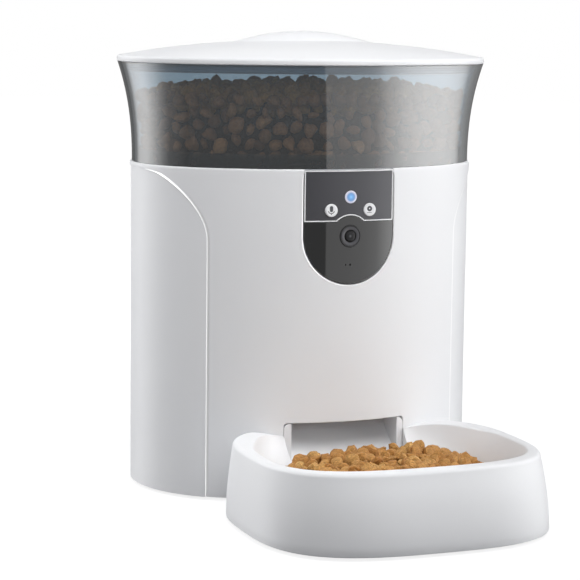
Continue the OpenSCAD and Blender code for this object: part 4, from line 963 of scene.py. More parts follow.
# The section's points climb the outside and come back down the inside. Each row below is one sum of a
# point's place: its name, the kind of sum, and the two terms, which are inputs, earlier rows or numbers.
sums = {name: given[name] for name in ("Foot", "Height", "Flare", "Lip", "Wall", "Extra Wall", "Steps")}
sums["place"] = add(tree, "GeometryNodeInputIndex").outputs["Index"]
for name, kind, *terms in (
        ("doubled", "MULTIPLY", "Steps", 2.0),
        ("last", "SUBTRACT", "Steps", 1.0),
        ("turning", "ADD", "last", 0.5),
        ("going_down", "GREATER_THAN", "place", "turning"),
        ("going_up", "SUBTRACT", 1.0, "going_down"),
        ("end", "SUBTRACT", "doubled", 1.0),
        ("to_end", "SUBTRACT", "end", "place"),
        ("step_up", "MULTIPLY", "place", "going_up"),
        ("step_down", "MULTIPLY", "to_end", "going_down"),
        ("step", "ADD", "step_up", "step_down"),
        ("rise", "DIVIDE", "step", "last"),
        ("bend", "POWER", "rise", FLARE_POWER),
        ("flared", "MULTIPLY", "Flare", "bend"),
        ("outside", "SUBTRACT", "flared", "Lip"),
        ("rise_squared", "MULTIPLY", "rise", "rise"),
        ("extra", "MULTIPLY", "Extra Wall", "rise_squared"),
        ("thick", "ADD", "Wall", "extra"),
        ("set_in", "MULTIPLY", "thick", "going_down"),
        ("grow", "SUBTRACT", "outside", "set_in"),
        ("lifted", "MULTIPLY", "Height", "rise"),
        ("height", "ADD", "Foot", "lifted"),
        ("below", "MULTIPLY", "height", -1.0)):
    filled = {n: sums.get(term, term) for n, term in enumerate(terms)}
    sums[name] = add(tree, "ShaderNodeMath", filled, operation=kind).outputs["Value"]
strip = add(tree, "GeometryNodeMeshLine", {"Count": sums["doubled"], "Offset": (0, 0, 0.001)})
spot = add(tree, "ShaderNodeCombineXYZ", {"X": sums["grow"], "Y": sums["below"]})
moved = add(tree, "GeometryNodeSetPosition", {"Geometry": strip.outputs["Mesh"],
                                              "Position": spot.outputs["Vector"]})
profile = add(tree, "GeometryNodeMeshToCurve", {"Mesh": moved.outputs["Geometry"]})
ring = add(tree, "GeometryNodeSetSplineCyclic", {"Geometry": profile.outputs["Curve"], "Cyclic": True})
swept = add(tree, "GeometryNodeCurveToMesh", {"Curve": upright_curve.outputs["Curve"],
                                              "Profile Curve": ring.outputs["Geometry"]})
end_tree(tree, swept.outputs["Mesh"], given["Finish"])

# %% Tank wall
OUTLINE_POINTS = 320
tank_wall = run_tree(tree, oval(0, 0, OUTLINE_POINTS),
                     [(i, (i + 1) % OUTLINE_POINTS) for i in range(OUTLINE_POINTS)],
                     {"Foot": TANK_FOOT * MM, "Height": (TANK_TOP - TANK_FOOT) * MM, "Finish": smoked_san},
                     "tank_wall")
cleaned(tank_wall.data)
smoothed(tank_wall.data, 40)
span = [tank_wall.bound_box[0], tank_wall.bound_box[6]]
print("tank wall box, mm", [[round(v / MM, 1) for v in corner] for corner in span])
dress(tank_wall, "hopper", "smoked_clear", "hopper")


# %% Tank tray
def tank_rise(z):
    """Height over the body as a share of the tank's height."""
    return np.maximum(0.0, (z - BODY_Z) / (TANK_TOP - BODY_Z))


def tank_in(z):
    """How far the tank's inner face stands out from the body's outline at a height."""
    return FLARE * tank_rise(z) ** FLARE_POWER - LIP - WALL_T - EXTRA_T * tank_rise(z) ** 2


def circle(r, z, count=240):
    """A ring whose points face the same way as the oval's points do."""
    out = wall(np.arange(count) * ROUND / count)[1]
    return np.column_stack([out * r, np.full(count, z)])


POCKET_R, POCKET_Z, POCKET_TOP, TRAY_T, SHAFT_R = 50.0, 115.0, 152.0, 3.0, 9.1
SEAT_Z = BODY_Z + 0.05
tray_rings = [circle(SHAFT_R, POCKET_Z - TRAY_T), circle(POCKET_R + TRAY_T, POCKET_Z - TRAY_T),
              circle(POCKET_R + TRAY_T, POCKET_TOP - 2), oval(-18, COLLAR_Z - 7), oval(-6.4, COLLAR_Z - 1),
              oval(-6.4, SEAT_Z), oval(-1.6, SEAT_Z)]
tray_rings += [oval(tank_in(z) - 0.06, z) for z in (SEAT_Z, 213, 215, 217, 219, 220.1)]
tray_rings += [oval(-6.6, 217.0), oval(-8.4, 213.4), oval(-10, 211.6), oval(-20.5, 204),
               circle(POCKET_R, POCKET_TOP), circle(POCKET_R, POCKET_Z), circle(SHAFT_R, POCKET_Z)]
dress(piece("tank_tray", smoked_tray, *loft(tray_rings + tray_rings[:1], caps=False)),
      "hopper", "smoked_clear", "hopper")

# %% [markdown]
# ## The lid
# A shallow dome with a rounded edge, and a low oval grip that grows out of the dome with a soft crease.
# Each ring is the body's oval at a smaller share; the height is the greater of dome and grip, blended
# over a couple of millimetres so that the crease catches light as a moulded one does.

# %% Lid
LID_TOP, DOME_DROP, DOME_POWER, LID_G, LID_SEAT, LID_T = 289.3, 10.5, 2.2, 8.4, 275.0, 3.2
GRIP_L, GRIP_D, GRIP_FOOT, GRIP_RISE, GRIP_SOFT = 46.0, 23.0, 288.4, 6.9, 0.5
EDGE_R, LIP_R, SKIRT_T, SKIRT_GAP = 2.0, 0.8, 2.4, 1.6


def dome_height(share):
    """Height of the dome without its grip."""
    return LID_TOP - DOME_DROP * share ** DOME_POWER


def lid_height(ring, share):
    """The greater of dome and grip, blended over a soft crease."""
    dome = dome_height(share)
    grip = GRIP_FOOT + GRIP_RISE * (1 - (ring[:, 0] / GRIP_L) ** 2 - (ring[:, 1] / GRIP_D) ** 2)
    return (dome + grip + np.sqrt((dome - grip) ** 2 + GRIP_SOFT ** 2)) / 2


def rounded(grow, z, r, start, end, count):
    """Rings of a rounded edge: an arc of the section, in degrees, carried round the oval."""
    return [oval(grow + r * math.cos(a), z + r * math.sin(a))
            for a in np.radians(np.linspace(start, end, count))]


lid_foot, skirt_foot, skirt_g = LID_SEAT + 0.1, LID_SEAT - 4.9, tank_in(LID_SEAT - 5) - SKIRT_GAP
lid_rings = [oval(LID_G, dome_height(t) - LID_T, share=t) for t in (0.02, 0.2, 0.4, 0.6, 0.78)]
lid_rings += [oval(skirt_g - SKIRT_T, LID_SEAT + 1.7), oval(skirt_g - SKIRT_T, skirt_foot),
              oval(skirt_g, skirt_foot), oval(tank_in(LID_SEAT) - SKIRT_GAP, lid_foot),
              oval(LID_G - 2 * LIP_R, lid_foot)]
lid_rings += rounded(LID_G - LIP_R, lid_foot + LIP_R, LIP_R, -90, 0, 6)
lid_rings += rounded(LID_G - EDGE_R, LID_SEAT + 2.3, EDGE_R, 0, 72, 9)
for t in np.concatenate([np.linspace(0.975, 0.5, 36), np.linspace(0.49, 0.03, 60)]):
    ring = oval(LID_G, 0, share=float(t))
    ring[:, 2] = lid_height(ring, float(t))
    lid_rings.append(ring)
dress(piece("lid_dome", abs_white, *loft(lid_rings), sharp=50), "lid", "white_abs", "lid")

# %% Lid seal
# Three soft lips in a row, from (depth under the lid's foot, distance from the tank's inner face).
seal_rows = ((4.6, 1.5), (4.4, 0.7), (3.8, 0.45), (3.0, 0.75), (2.2, 0.45), (1.4, 0.75), (0.7, 0.5),
             (0.4, 1.5))
seal_rings = [oval(tank_in(LID_SEAT - d) - g, lid_foot - d) for d, g in seal_rows]
dress(piece("lid_seal_lips", silicone_blue, *loft(seal_rings + seal_rings[:1], caps=False)),
      "lid", "seal_silicone", "lid_seal")

# %% [markdown]
# ## The bowl
# The bowl is a superellipse that leans in towards a rounded rim. Its back follows the body's curve and is
# cut away in front of the chute, with a rounded shoulder on each side. Every ring keeps the same X places
# near that cut, so the cut's edges stay straight through all rings.

# %% A ring of the bowl
BOWL_Y, RIM_Y, BOWL_BACK_R, BOWL_A, BOWL_B = -148.4, -146.0, 144.6, 92.6, 82.6
NOTCH_X, NOTCH_Y, NOTCH_Z, NOTCH_R, RIM_Z = 41.0, -120.0, 14.4, 1.6, 48.0
DIP, DIP_END, DIP_SOFT, SCOOP_END, LAND_MM, HOLLOW_Y = 4.2, 68.0, 2.6, 76.0, 1.0, -110.0
NEAR_X = [0, 6, 12, 18, 24, 30, 35, 38.5, 40.2, 40.9, 40.99, 41.0, 41.15, 41.5, 42.0, 42.9, 44.0, 45.1,
          46.4, 48, 50, 52.5, 55, 58, 61, 64, 67, 70]


def ease(value, start, end):
    """0 before the start, 1 after the end, smooth between."""
    share = np.clip((value - start) / (end - start), 0, 1)
    return share * share * (3 - 2 * share)


def bowl_ring(a, b, y, z, scoop=0.0, back=math.inf):
    """A ring of the bowl. Its back follows the body; scoop draws it there beside the chute."""
    near_x = [x for x in NEAR_X if x < a - 4]
    first = math.asin((near_x[-1] / a) ** 1.5)
    count = 16 + len(NEAR_X) - len(near_x)
    away = [a * math.sin(first + (math.pi / 2 - first) * k / count) ** (2 / 3) for k in range(1, count + 1)]
    xs = np.array(near_x + away)
    ys = b * np.maximum(0, 1 - (xs / a) ** 3) ** (1 / 3)
    xs, ys = np.concatenate([-xs[:0:-1], xs]), np.concatenate([ys[:0:-1], ys])
    ring = np.column_stack([np.concatenate([xs, xs[-2:0:-1]]), np.concatenate([y - ys, (y + ys)[-2:0:-1]])])
    side = np.abs(ring[:, 0])
    body_y = FRONT_CY - np.sqrt(BOWL_BACK_R ** 2 - ring[:, 0] ** 2)
    pull = scoop * (1 - ease(side, NOTCH_X, SCOOP_END)) * (ring[:, 1] > y)
    ring[:, 1] = np.minimum(ring[:, 1] + pull * np.maximum(0, body_y - LAND_MM - ring[:, 1]), body_y)
    ring[:, 1] = np.minimum(ring[:, 1], back)
    beside = 1 - ease(side, NOTCH_X, DIP_END)
    round_off = np.clip(NOTCH_X + NOTCH_R - side, 0, NOTCH_R)
    top = RIM_Z - DIP * beside - NOTCH_R + np.sqrt(NOTCH_R ** 2 - round_off ** 2)
    soft = DIP_SOFT * np.sqrt(beside)
    height = (z + top - np.sqrt((z - top) ** 2 + soft ** 2)) / 2
    height = np.where(side < NOTCH_X - 0.005, np.minimum(z, NOTCH_Z), height)
    return np.column_stack([ring, np.where(ring[:, 1] > NOTCH_Y, height, z)])


print("a bowl ring has", len(bowl_ring(BOWL_A, BOWL_B, BOWL_Y, NOTCH_Z)), "points")

# %% Bowl
in_y, in_a, in_b = -153.25, 80.0, 55.25
rim_r, in_r, foot_z, wall_h = 2.6, 1.6, 3.0, 42.4
# The hollow under the bowl, and its foot.
bowl_rings = [bowl_ring(a, b, BOWL_Y, z, back=HOLLOW_Y) for a, b, z in (
    (60, 40, 11.6), (85.2, 75.6, 11.6), (88.2, 78.6, 9.0), (89.2, 79.2, 2.0))]
bowl_rings += [bowl_ring(a, b, BOWL_Y, z) for a, b, z in (
    (91.8, 81.8, 2.0), (92.4, 82.4, 2.3), (BOWL_A, BOWL_B, foot_z))]
# The leaning wall, the rim's two roundings, and the dish.
for t in np.linspace(0.125, 1, 8):
    lean = t ** 1.7
    bowl_rings.append(bowl_ring(BOWL_A - 3.7 * lean, BOWL_B - 7.2 * lean, BOWL_Y + (RIM_Y - BOWL_Y) * lean,
                                foot_z + wall_h * t))
for a in np.radians((20, 38, 54, 68, 80, 90)):
    c, d = math.cos(a), math.sin(a)
    bowl_rings.append(bowl_ring(86.3 + rim_r * c, 72.8 + rim_r * c, RIM_Y, RIM_Z - rim_r + rim_r * d))
for a in np.radians((90, 70, 50, 30, 10)):
    c, d = math.cos(a), math.sin(a)
    bowl_rings.append(bowl_ring(in_a + 2.4 - in_r * c, in_b + 2.6 - in_r * c, in_y,
                                RIM_Z - in_r + in_r * d, 1.0))
for da, db, z in ((-1.0, -1.0, 42), (-2.4, -2.1, 38), (-4.2, -3.5, 33), (-6.2, -4.8, 28), (-8.4, -6.2, 22),
                  (-10.4, -7.4, 18.2), (-13.0, -9.6, 15.6), (-17.0, -13.0, 14.3), (-22.0, -18.0, 14.0),
                  (-26, -38, 14.0)):
    bowl_rings.append(bowl_ring(in_a + da, in_b + db, in_y, z, float(ease(z, 15.0, 45.0))))
dress(piece("bowl_dish", abs_white, *loft(bowl_rings), sharp=42), "bowl", "white_abs", "bowl")

# %% [markdown]
# ## Feet and screws by Geometry Nodes
# Four rubber feet, four bowl pads and four screws repeat one shape at known places. A small tree puts a
# shape on every point of a mesh and makes real geometry of it, because instances aren't exported.

# %% Shapes on points
place_tree, given = new_tree("shape_on_points", {"Shape": (SHAPE, None), "Turn": (FLOAT, 0.0),
                                                 "Finish": (STUFF, None)})
info = add(place_tree, "GeometryNodeObjectInfo", {"Object": given["Shape"]}, transform_space="ORIGINAL")
turn_z = add(place_tree, "ShaderNodeCombineXYZ", {"Z": given["Turn"]})
placed = add(place_tree, "GeometryNodeInstanceOnPoints", {
    "Points": given["Geometry"], "Instance": info.outputs["Geometry"], "Rotation": turn_z.outputs["Vector"]})
end_tree(place_tree, placed.outputs["Instances"], given["Finish"])


def stamp(name, profile, count=40, cross=False):
    """A turned shape about Z with its foot at the origin, to be repeated. A cross is sunk into a screw."""
    turn = np.arange(count) * 2 * math.pi / count
    star = 0.45 + 0.55 * np.abs(np.cos(2 * turn)) ** 6
    rings = spun(0, 0, [(r * star if cross and 0 < r < 1.6 else r, z) for r, z in profile], count)
    made = piece(name, abs_pale, *loft(rings))
    made.data.transform(Matrix.Translation((0, -AXIS_Y * MM, 0)))
    return made


def repeat(name, shape, places, finish):
    """The shape on every place, as one plain mesh. The shape itself isn't needed any more."""
    made = run_tree(place_tree, places, [], {"Shape": shape, "Finish": finish}, name)
    smoothed(made.data, 38)
    bpy.data.objects.remove(shape)
    return made


# %% Feet, pads and screws
foot_shape = stamp("foot_shape", [(0, 0.35), (5.5, 0.35), (5.9, 0.0), (7.2, 0.0), (7.8, 0.3), (8.0, 0.8),
                                  (8.0, 2.0), (3.0, 2.0), (3.0, 4.8), (0, 4.8)])
pad_shape = stamp("pad_shape", [(0, 0.25), (3.8, 0.25), (4.1, 0.0), (5.3, 0.0), (5.8, 0.3), (6.0, 0.7),
                                (6.0, 2.0), (0, 2.0)])
screw_shape = stamp("screw_shape", [(0, 1.0), (0.5, 1.0), (1.3, 0.5), (1.55, 0.12), (1.75, 0.0), (2.4, 0.08),
                                    (2.85, 0.4), (3.0, 0.8), (3.0, 1.6), (1.25, 1.6), (1.25, 13.0),
                                    (0.4, 13.2), (0, 13.2)], 48, True)
FOOT_PLACES = [(x, y, 0) for x, y in ((80.4, -38.73), (-80.4, -38.73), (65.0, 54.58), (-65.0, 54.58))]
PAD_PLACES = [(x, y, 0) for x, y in ((47.94, -207), (-47.94, -207), (58.28, -100), (-58.28, -100))]
SCREW_HEAD_Z = 1.8
dress(repeat("rubber_feet_turned", foot_shape, FOOT_PLACES, rubber_black),
      "housing", "foot_rubber", "rubber_feet")
dress(repeat("bowl_pads_turned", pad_shape, PAD_PLACES, rubber_black), "bowl", "foot_rubber", "bowl_feet")
screw_heads = [(x, y, SCREW_HEAD_Z) for x, y in SCREW_PLACES]
dress(repeat("base_screws_turned", screw_shape, screw_heads, zinc_steel),
      "housing", "screw_steel", "base_screws")

# %% [markdown]
# ## Food
# The picture shows dry food in the tank and in the bowl. A few pebble shapes are made from a ball with
# random lumps, with few faces, as there are so many. Places for them come from a small packing: points
# start in layers, push each other apart and are kept inside the walls. A geometry tree then puts a turned
# pebble of a random tone on each point.

# %% Pebble shapes
KIBBLE_MM, KIBBLE_REACH = (13.0, 11.4, 9.2), 6.9
pebbles = bpy.data.collections.new("pebbles")
for k in range(6):
    pick = random.Random(40 + k)
    work = bmesh.new()
    bmesh.ops.create_icosphere(work, subdivisions=2, radius=0.5)
    stretch = [m * pick.uniform(0.88, 1.12) for m in KIBBLE_MM]
    lumps = [(Vector([pick.gauss(0, 1) for _ in range(3)]).normalized(), pick.choice((-0.42, 0.34, 0.5)))
             for _ in range(7)]
    for v in work.verts:
        way = v.co.normalized()
        swell = pick.uniform(0.88, 1.12) + sum(h * max(0.0, way.dot(d)) ** 3 for d, h in lumps)
        v.co = Vector(c * m * swell for c, m in zip(v.co, stretch))
    shrink = min(1.0, KIBBLE_REACH / max(v.co.length for v in work.verts)) * MM
    bmesh.ops.scale(work, vec=(shrink, shrink, shrink), verts=work.verts)
    mesh = bpy.data.meshes.new(f"pebble_{k}")
    work.to_mesh(mesh)
    work.free()
    pebbles.objects.link(bpy.data.objects.new(f"pebble_{k}", mesh))
print("pebbles of", len(mesh.polygons), "faces")

# %% Baked food finishes
CRUMB_MM = 1.6


def baked(name, *tones):
    """Crumbly crust; the tone attribute picks a colour for each pebble."""
    finish, tree, mm = new_finish(name)
    tone = add(tree, "ShaderNodeAttribute", attribute_name="tone")
    shade = add(tree, "ShaderNodeValToRGB", {"Fac": tone.outputs["Fac"]},
                stops=tuple(zip((0.0, 0.35, 0.7, 1.0), tones)))
    crumb = add(tree, "ShaderNodeTexNoise", {"Vector": mm, "Scale": 1 / CRUMB_MM, "Detail": 4.0,
                                             "Roughness": 0.65})
    crust = add(tree, "ShaderNodeMapRange", {"Value": crumb.outputs["Fac"], "From Min": 0.3, "From Max": 0.7,
                                             "To Min": 0.6, "To Max": 1.22})
    dusted = add(tree, "ShaderNodeVectorMath", {0: shade.outputs["Color"], "Scale": crust.outputs["Result"]},
                 operation="SCALE")
    pore = add(tree, "ShaderNodeBump", {"Height": crumb.outputs["Fac"], "Strength": 0.8,
                                        "Distance": 1.1 * MM})
    skin = add(tree, "ShaderNodeBsdfPrincipled", {"Base Color": dusted.outputs["Vector"], "Roughness": 0.72,
                                                  "IOR": 1.45, "Normal": pore.outputs["Normal"]})
    add(tree, "ShaderNodeOutputMaterial", {"Surface": skin.outputs["BSDF"]})
    return finish


# Baked cereal is dull and a little porous: brown crust with paler crumbs of about a millimetre.
bowl_crust = baked("baked_food_golden", "#B07A3E", "#C99654", "#BB8547", "#D8AA66")
# Behind the smoked wall the picture shows it browner, and the gaps between the pebbles nearly black. So the
# food by the wall gets darker browns than the bowl's, and the food behind it is painted nearly black as
# shade for those gaps.
tank_crust = baked("baked_food_brown", "#8A5E40", "#B27C50", "#7C5539", "#C8905E")
painted_shade_food = baked("baked_food_painted_shade", "#3E2F25", "#46362B", "#413127", "#4A392E")
print("food finishes:", bowl_crust.name, tank_crust.name, painted_shade_food.name)

# %% Packing
PUSH_SHARE = 0.3
rng = np.random.default_rng(7)


def settle(points, apart, hold, rounds):
    """Pushes points apart until they are about that far from each other, inside what hold() allows."""
    for _ in range(rounds):
        gap = points[:, None, :] - points[None, :, :]
        far = np.linalg.norm(gap, axis=2) + np.eye(len(points)) * 1e3
        push = np.clip(apart - far, 0, None) / far * PUSH_SHARE
        points = hold(points + (gap * push[:, :, None]).sum(1))
    return points


def staggered(half, step, level_shift, level):
    """A grid of places, with every other row and every other level shifted sideways."""
    grid = np.stack(np.meshgrid(np.arange(-half[0], half[0] + 1, step[0]),
                                np.arange(-half[1], half[1] + 1, step[1])), -1).reshape(-1, 2)
    grid[:, 0] += step[0] / 2 * (np.round(grid[:, 1] / step[1]) % 2) + level_shift * (level % 2)
    return grid


# %% Places in the tank
TANK_CREST, TANK_FALL, TANK_FLOOR, TANK_LAST, LEVEL_MM = 269.5, 12.0, 216.5, 264.0, 8.4
SKIN_MM, TANK_APART, BOWL_APART, ROUNDS = 6.6, 10.8, 9.6, 14
WALL_BAND, TOP_BAND, HEAP_HALF, HEAP_POWER = 7.0, 11.0, 82.0, 2.2
RING_COUNT, RING_STEP, RIM_CLEAR = 54, 10, 15
TANK_GRID, TANK_JITTER = (10.8, 9.4), 2.6


def tank_room(p):
    """Room from each place to the tank's wall and to the top of the heap, and the outward normals."""
    g, out = grown(p[:, :2])
    side = tank_in(p[:, 2]) - SKIN_MM - g
    top = TANK_CREST - SKIN_MM - TANK_FALL * np.clip(1 + g / HEAP_HALF, 0, 1) ** HEAP_POWER - p[:, 2]
    return side, top, out


def tank_hold(p):
    """Brings places back inside the tank's wall, under the heap's top and onto its floor."""
    side, _, out = tank_room(p)
    p[:, :2] += out * np.minimum(0, side)[:, None]
    p[:, 2] = np.maximum(p[:, 2] + np.minimum(0, tank_room(p)[1]), TANK_FLOOR)
    return p


layers = []
for level, z in enumerate(np.arange(TANK_FLOOR, TANK_LAST, LEVEL_MM)):
    rim_g = tank_in(z) - SKIN_MM
    layers += [oval(rim_g - RING_STEP * k, z, RING_COUNT - 4 * k) for k in range(2)]
    grid = staggered((110, 84), TANK_GRID, 3.1, level)
    grid = grid[grown(grid)[0] < rim_g - RIM_CLEAR]
    layers.append(np.column_stack([grid, np.full(len(grid), z)]))
tank_places = np.vstack(layers)
tank_places += rng.normal(0, TANK_JITTER, tank_places.shape)
tank_places = settle(tank_hold(tank_places), TANK_APART, tank_hold, ROUNDS)
side_room, top_room, _ = tank_room(tank_places)
by_wall = side_room < WALL_BAND
on_top = ~by_wall & (top_room < TOP_BAND)
inside_heap = ~by_wall & ~on_top
print("pebbles in the tank", len(tank_places), "of them by the wall", int(by_wall.sum()))

# %% Places in the bowl
BOWL_CREST, BOWL_FALL, BOWL_HALF, BOWL_MID_X = 43.0, 15.0, (74.0, 46.0), 7.0
BOWL_FLOOR, BOWL_GRID, BOWL_JITTER = 14.0, (9.8, 8.6), 3.0


def bowl_hold(p):
    """Brings places back inside the dish, under the heap's top and onto the dish's floor."""
    dx, dy = p[:, 0], p[:, 1] - in_y
    out = ((np.abs(dx) / BOWL_HALF[0]) ** 3 + (np.abs(dy) / BOWL_HALF[1]) ** 3) ** (1 / 3)
    pull = np.maximum(1.0, out)
    p[:, 0], p[:, 1] = dx / pull, in_y + dy / pull
    heap = BOWL_CREST - SKIN_MM - BOWL_FALL * (np.abs(p[:, 0] - BOWL_MID_X) / BOWL_HALF[0]) ** 3
    p[:, 2] = np.clip(p[:, 2], BOWL_FLOOR + SKIN_MM, np.maximum(heap, BOWL_FLOOR + SKIN_MM))
    return p


layers = []
for level, z in enumerate((21.0, 28.0, 34.0, 38.0)):
    grid = staggered((66, 41), BOWL_GRID, 2.4, level)
    grid = grid[(np.abs(grid[:, 0]) / 70) ** 3 + (np.abs(grid[:, 1]) / 46) ** 3 < 1]
    layers.append(np.column_stack([grid[:, 0], grid[:, 1] + in_y, np.full(len(grid), z)]))
bowl_places = np.vstack(layers)
bowl_places += rng.normal(0, BOWL_JITTER, bowl_places.shape)
bowl_places = settle(bowl_hold(bowl_places), BOWL_APART, bowl_hold, ROUNDS)
print("pebbles in the bowl", len(bowl_places))

# %% Geometry tree for the pebbles
tree, given = new_tree("pebbles_on_places", {
    "Shapes": (GROUP, None), "Seed": (WHOLE, 1), "Smallest": (FLOAT, 0.86), "Largest": (FLOAT, 1.08),
    "Finish": (STUFF, None)})
shapes = add(tree, "GeometryNodeCollectionInfo", {"Collection": given["Shapes"], "Separate Children": True,
                                                  "Reset Children": True})
which = add(tree, "FunctionNodeRandomValue", {4: 0, 5: 5, "Seed": given["Seed"]}, data_type="INT")
turns = add(tree, "FunctionNodeRandomValue", {0: (0, 0, 0), 1: (6.283, 6.283, 6.283), "Seed": given["Seed"]},
            data_type="FLOAT_VECTOR")
sizes = add(tree, "FunctionNodeRandomValue", {2: given["Smallest"], 3: given["Largest"],
                                              "Seed": given["Seed"]}, data_type="FLOAT")
tone_seed = add(tree, "ShaderNodeMath", {0: given["Seed"], 1: 9.0}, operation="ADD")
tones = add(tree, "FunctionNodeRandomValue", {2: 0.0, 3: 1.0, "Seed": tone_seed.outputs["Value"]},
            data_type="FLOAT")
placed = add(tree, "GeometryNodeInstanceOnPoints", {
    "Points": given["Geometry"], "Instance": shapes.outputs["Instances"], "Pick Instance": True,
    "Instance Index": which.outputs[2], "Rotation": turns.outputs[0], "Scale": sizes.outputs[1]})
toned = add(tree, "GeometryNodeStoreNamedAttribute", {"Geometry": placed.outputs["Instances"], "Name": "tone",
                                                      "Value": tones.outputs[1]},
            data_type="FLOAT", domain="INSTANCE")
end_tree(tree, toned.outputs["Geometry"], given["Finish"])

# %% Pebbles on the places
SIZE_RANGE = 0.22
# The pebbles inside the heap carry the painted shade, which shows in the gaps between those by the wall.
for name, places, seed, finish, smallest, sharp, body in (
        ("tank_food", tank_places[by_wall], 11, tank_crust, 0.78, 60, "hopper"),
        ("tank_food_top", tank_places[on_top], 13, bowl_crust, 0.82, 60, "hopper"),
        ("tank_food_inside", tank_places[inside_heap], 12, painted_shade_food, 0.82, 60, "hopper"),
        ("bowl_food", bowl_places, 23, bowl_crust, 0.86, 32, "bowl")):
    chosen = {"Shapes": pebbles, "Seed": seed, "Finish": finish, "Smallest": smallest,
              "Largest": smallest + SIZE_RANGE}
    food = run_tree(tree, places, [], chosen, name)
    smoothed(food.data, sharp)
    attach(food, body)
    print(name, len(food.data.polygons), "faces")
for shape in list(pebbles.objects):
    bpy.data.objects.remove(shape)
bpy.data.collections.remove(pebbles)

# %% [markdown]
# ## Finishes for the CAD nodes that stay
# The chute, the base and everything inside have the right shape already, so they keep their CAD mesh and
# only get a finish. The table below goes by what each real piece is made of.

# %% Finishes on CAD nodes
kept = {
    abs_white: ["chute", "rotor_hub"],
    abs_pale: ["base_cover", "battery_door", "battery_box", "outlet_baffle", "desiccant_box",
               "desiccant_cover"],
    abs_black: ["camera_barrel", "tact_switches", "board_parts", "speaker", "dc_jack"],
    board_green: ["camera_board", "panel_board", "main_board"],
    nylon_grey: ["gearbox_case", "gearbox_deck"],
    acetal_cream: ["output_gear", "idler_gear"],
    silicone_blue: ["rotor_paddles"],
    zinc_steel: ["deck_screws", "idler_axle", "battery_springs", "battery_plates", "rotor_clip",
                 "drive_shaft", "motor_shaft"],
    nickel_can: ["microphone", "drive_motor"],
    bronze: ["shaft_bush"],
    brass: ["motor_pinion"],
}
for finish, names in kept.items():
    for name in names:
        for place in frame["nodes"][name].material_slots:
            place.material = finish
shown = [n for n, o in frame["nodes"].items() if not o.hide_render]
print("CAD nodes with a new finish:", sum(map(len, kept.values())), "of", len(shown), "shown")

# %% [markdown]
# ## Studio
# A plain white floor, broad soft lamps, and curved screens that only mirrors see. The screens draw the
# reflections on the gloss window and the tank: bright to the right and to the far left, dark between. Lamps
# light the white plastic and leave no image of themselves, so each can be set without the other.

# %% Screens
SCREEN_STEPS, SCREEN_TOP = 48, 1.0
screen_light = bpy.data.materials.new("screen_light")
screen_light.use_nodes = True
tree = screen_light.node_tree
tree.nodes.clear()
level_read = add(tree, "ShaderNodeAttribute", attribute_name="level")
glow = add(tree, "ShaderNodeEmission", {"Strength": level_read.outputs["Fac"]})
add(tree, "ShaderNodeOutputMaterial", {"Surface": glow.outputs["Emission"]})


def screen(name, radius, low, *levels):
    """A curved upright screen about the feeder, from rows of (bearing in degrees, brightness)."""
    mesh = bpy.data.meshes.new(name)
    bearings = np.radians(np.linspace(levels[0][0], levels[-1][0], SCREEN_STEPS))
    points = [(radius * math.sin(a), -radius * math.cos(a), z) for z in (low, SCREEN_TOP) for a in bearings]
    mesh.from_pydata(points, [], [(i, i + 1, SCREEN_STEPS + 1 + i, SCREEN_STEPS + i)
                                  for i in range(SCREEN_STEPS - 1)])
    level_at = np.interp(np.degrees(bearings), [b for b, _ in levels], [v for _, v in levels])
    kept_level = mesh.attributes.new("level", "FLOAT", "POINT")
    kept_level.data.foreach_set("value", np.concatenate([level_at, level_at]).astype(np.float32))
    mesh.materials.append(screen_light)
    made = in_scene(name, mesh)
    made.visible_camera = made.visible_diffuse = made.visible_transmission = made.visible_shadow = False
    print(name, "from", levels[0][0], "to", levels[-1][0], "degrees")


# The right screen's near end gives the window its pale sheen, and the tank's right side mirrors the rest.
screen("bright_screen_right", 1.2, -1.8, (8.5, 0.95), (20, 1.02), (30, 1.15), (38, 1.4), (45, 2.3),
       (57, 3.55), (70, 3.9), (80, 3.6), (86, 3.35), (97, 2.4), (107, 0.8), (125, 0.36))
# The tank's left side mirrors this one. Both fade at the far end, which the tank's side edges mirror.
screen("bright_screen_left", 1.2, -1.8, (-165, 0.22), (-157, 0.42), (-149, 1.45), (-142, 1.9), (-136, 2.3),
       (-130, 2.45), (-125, 2.3), (-116, 1.75), (-108, 1.1), (-100, 0.6), (-89, 0.46), (-76.5, 0.3))
# Dim screens close the ring in front and behind, so that nothing else is mirrored between the bright ones.
screen("dark_screen_front", 1.45, -2.2, (-76.5, 0.36), (8.5, 0.36))
screen("dark_screen_back", 1.45, -2.2, (125, 0.36), (140, 0.18), (195, 0.16))

# %% [markdown]
# ## Floor and white background
# The picture has no horizon: floor and background are the same white. A floor that is only lit would be
# grey and throw light up at the feeder. So it has a mid grey paint, and glows white for the camera alone.
# The world does the same. Clear plastic would turn that white into a veil, so a look through the tank that
# was mirrored inside its wall on the way sees only a tenth of it.

# %% Floor
FLOOR_R, FLOOR_SIDES, VEIL = 6.0, 64, 0.1
SHADE_FROM_MM, SHADE_TO_MM, SHADE_LEVEL = 200.0, 700.0, 0.83


def white_for(tree):
    """Two sockets: whether a ray is the camera's own, straight or through clear plastic, and how much of
    the white it sees, which is none after a diffuse bounce and VEIL after a mirror turn."""
    ray = add(tree, "ShaderNodeLightPath").outputs
    own = add(tree, "ShaderNodeMath", {0: ray["Is Camera Ray"], 1: ray["Is Transmission Ray"]},
              operation="MAXIMUM")
    direct, unturned = [add(tree, "ShaderNodeMath", {0: ray[turns], 1: 0.5}, operation="LESS_THAN")
                        for turns in ("Diffuse Depth", "Glossy Depth")]
    veiled = add(tree, "ShaderNodeMath", {0: unturned.outputs["Value"], 1: 1 - VEIL, 2: VEIL},
                 operation="MULTIPLY_ADD")
    share = add(tree, "ShaderNodeMath", {0: direct.outputs["Value"], 1: veiled.outputs["Value"]},
                operation="MULTIPLY")
    return own.outputs["Value"], share.outputs["Value"]


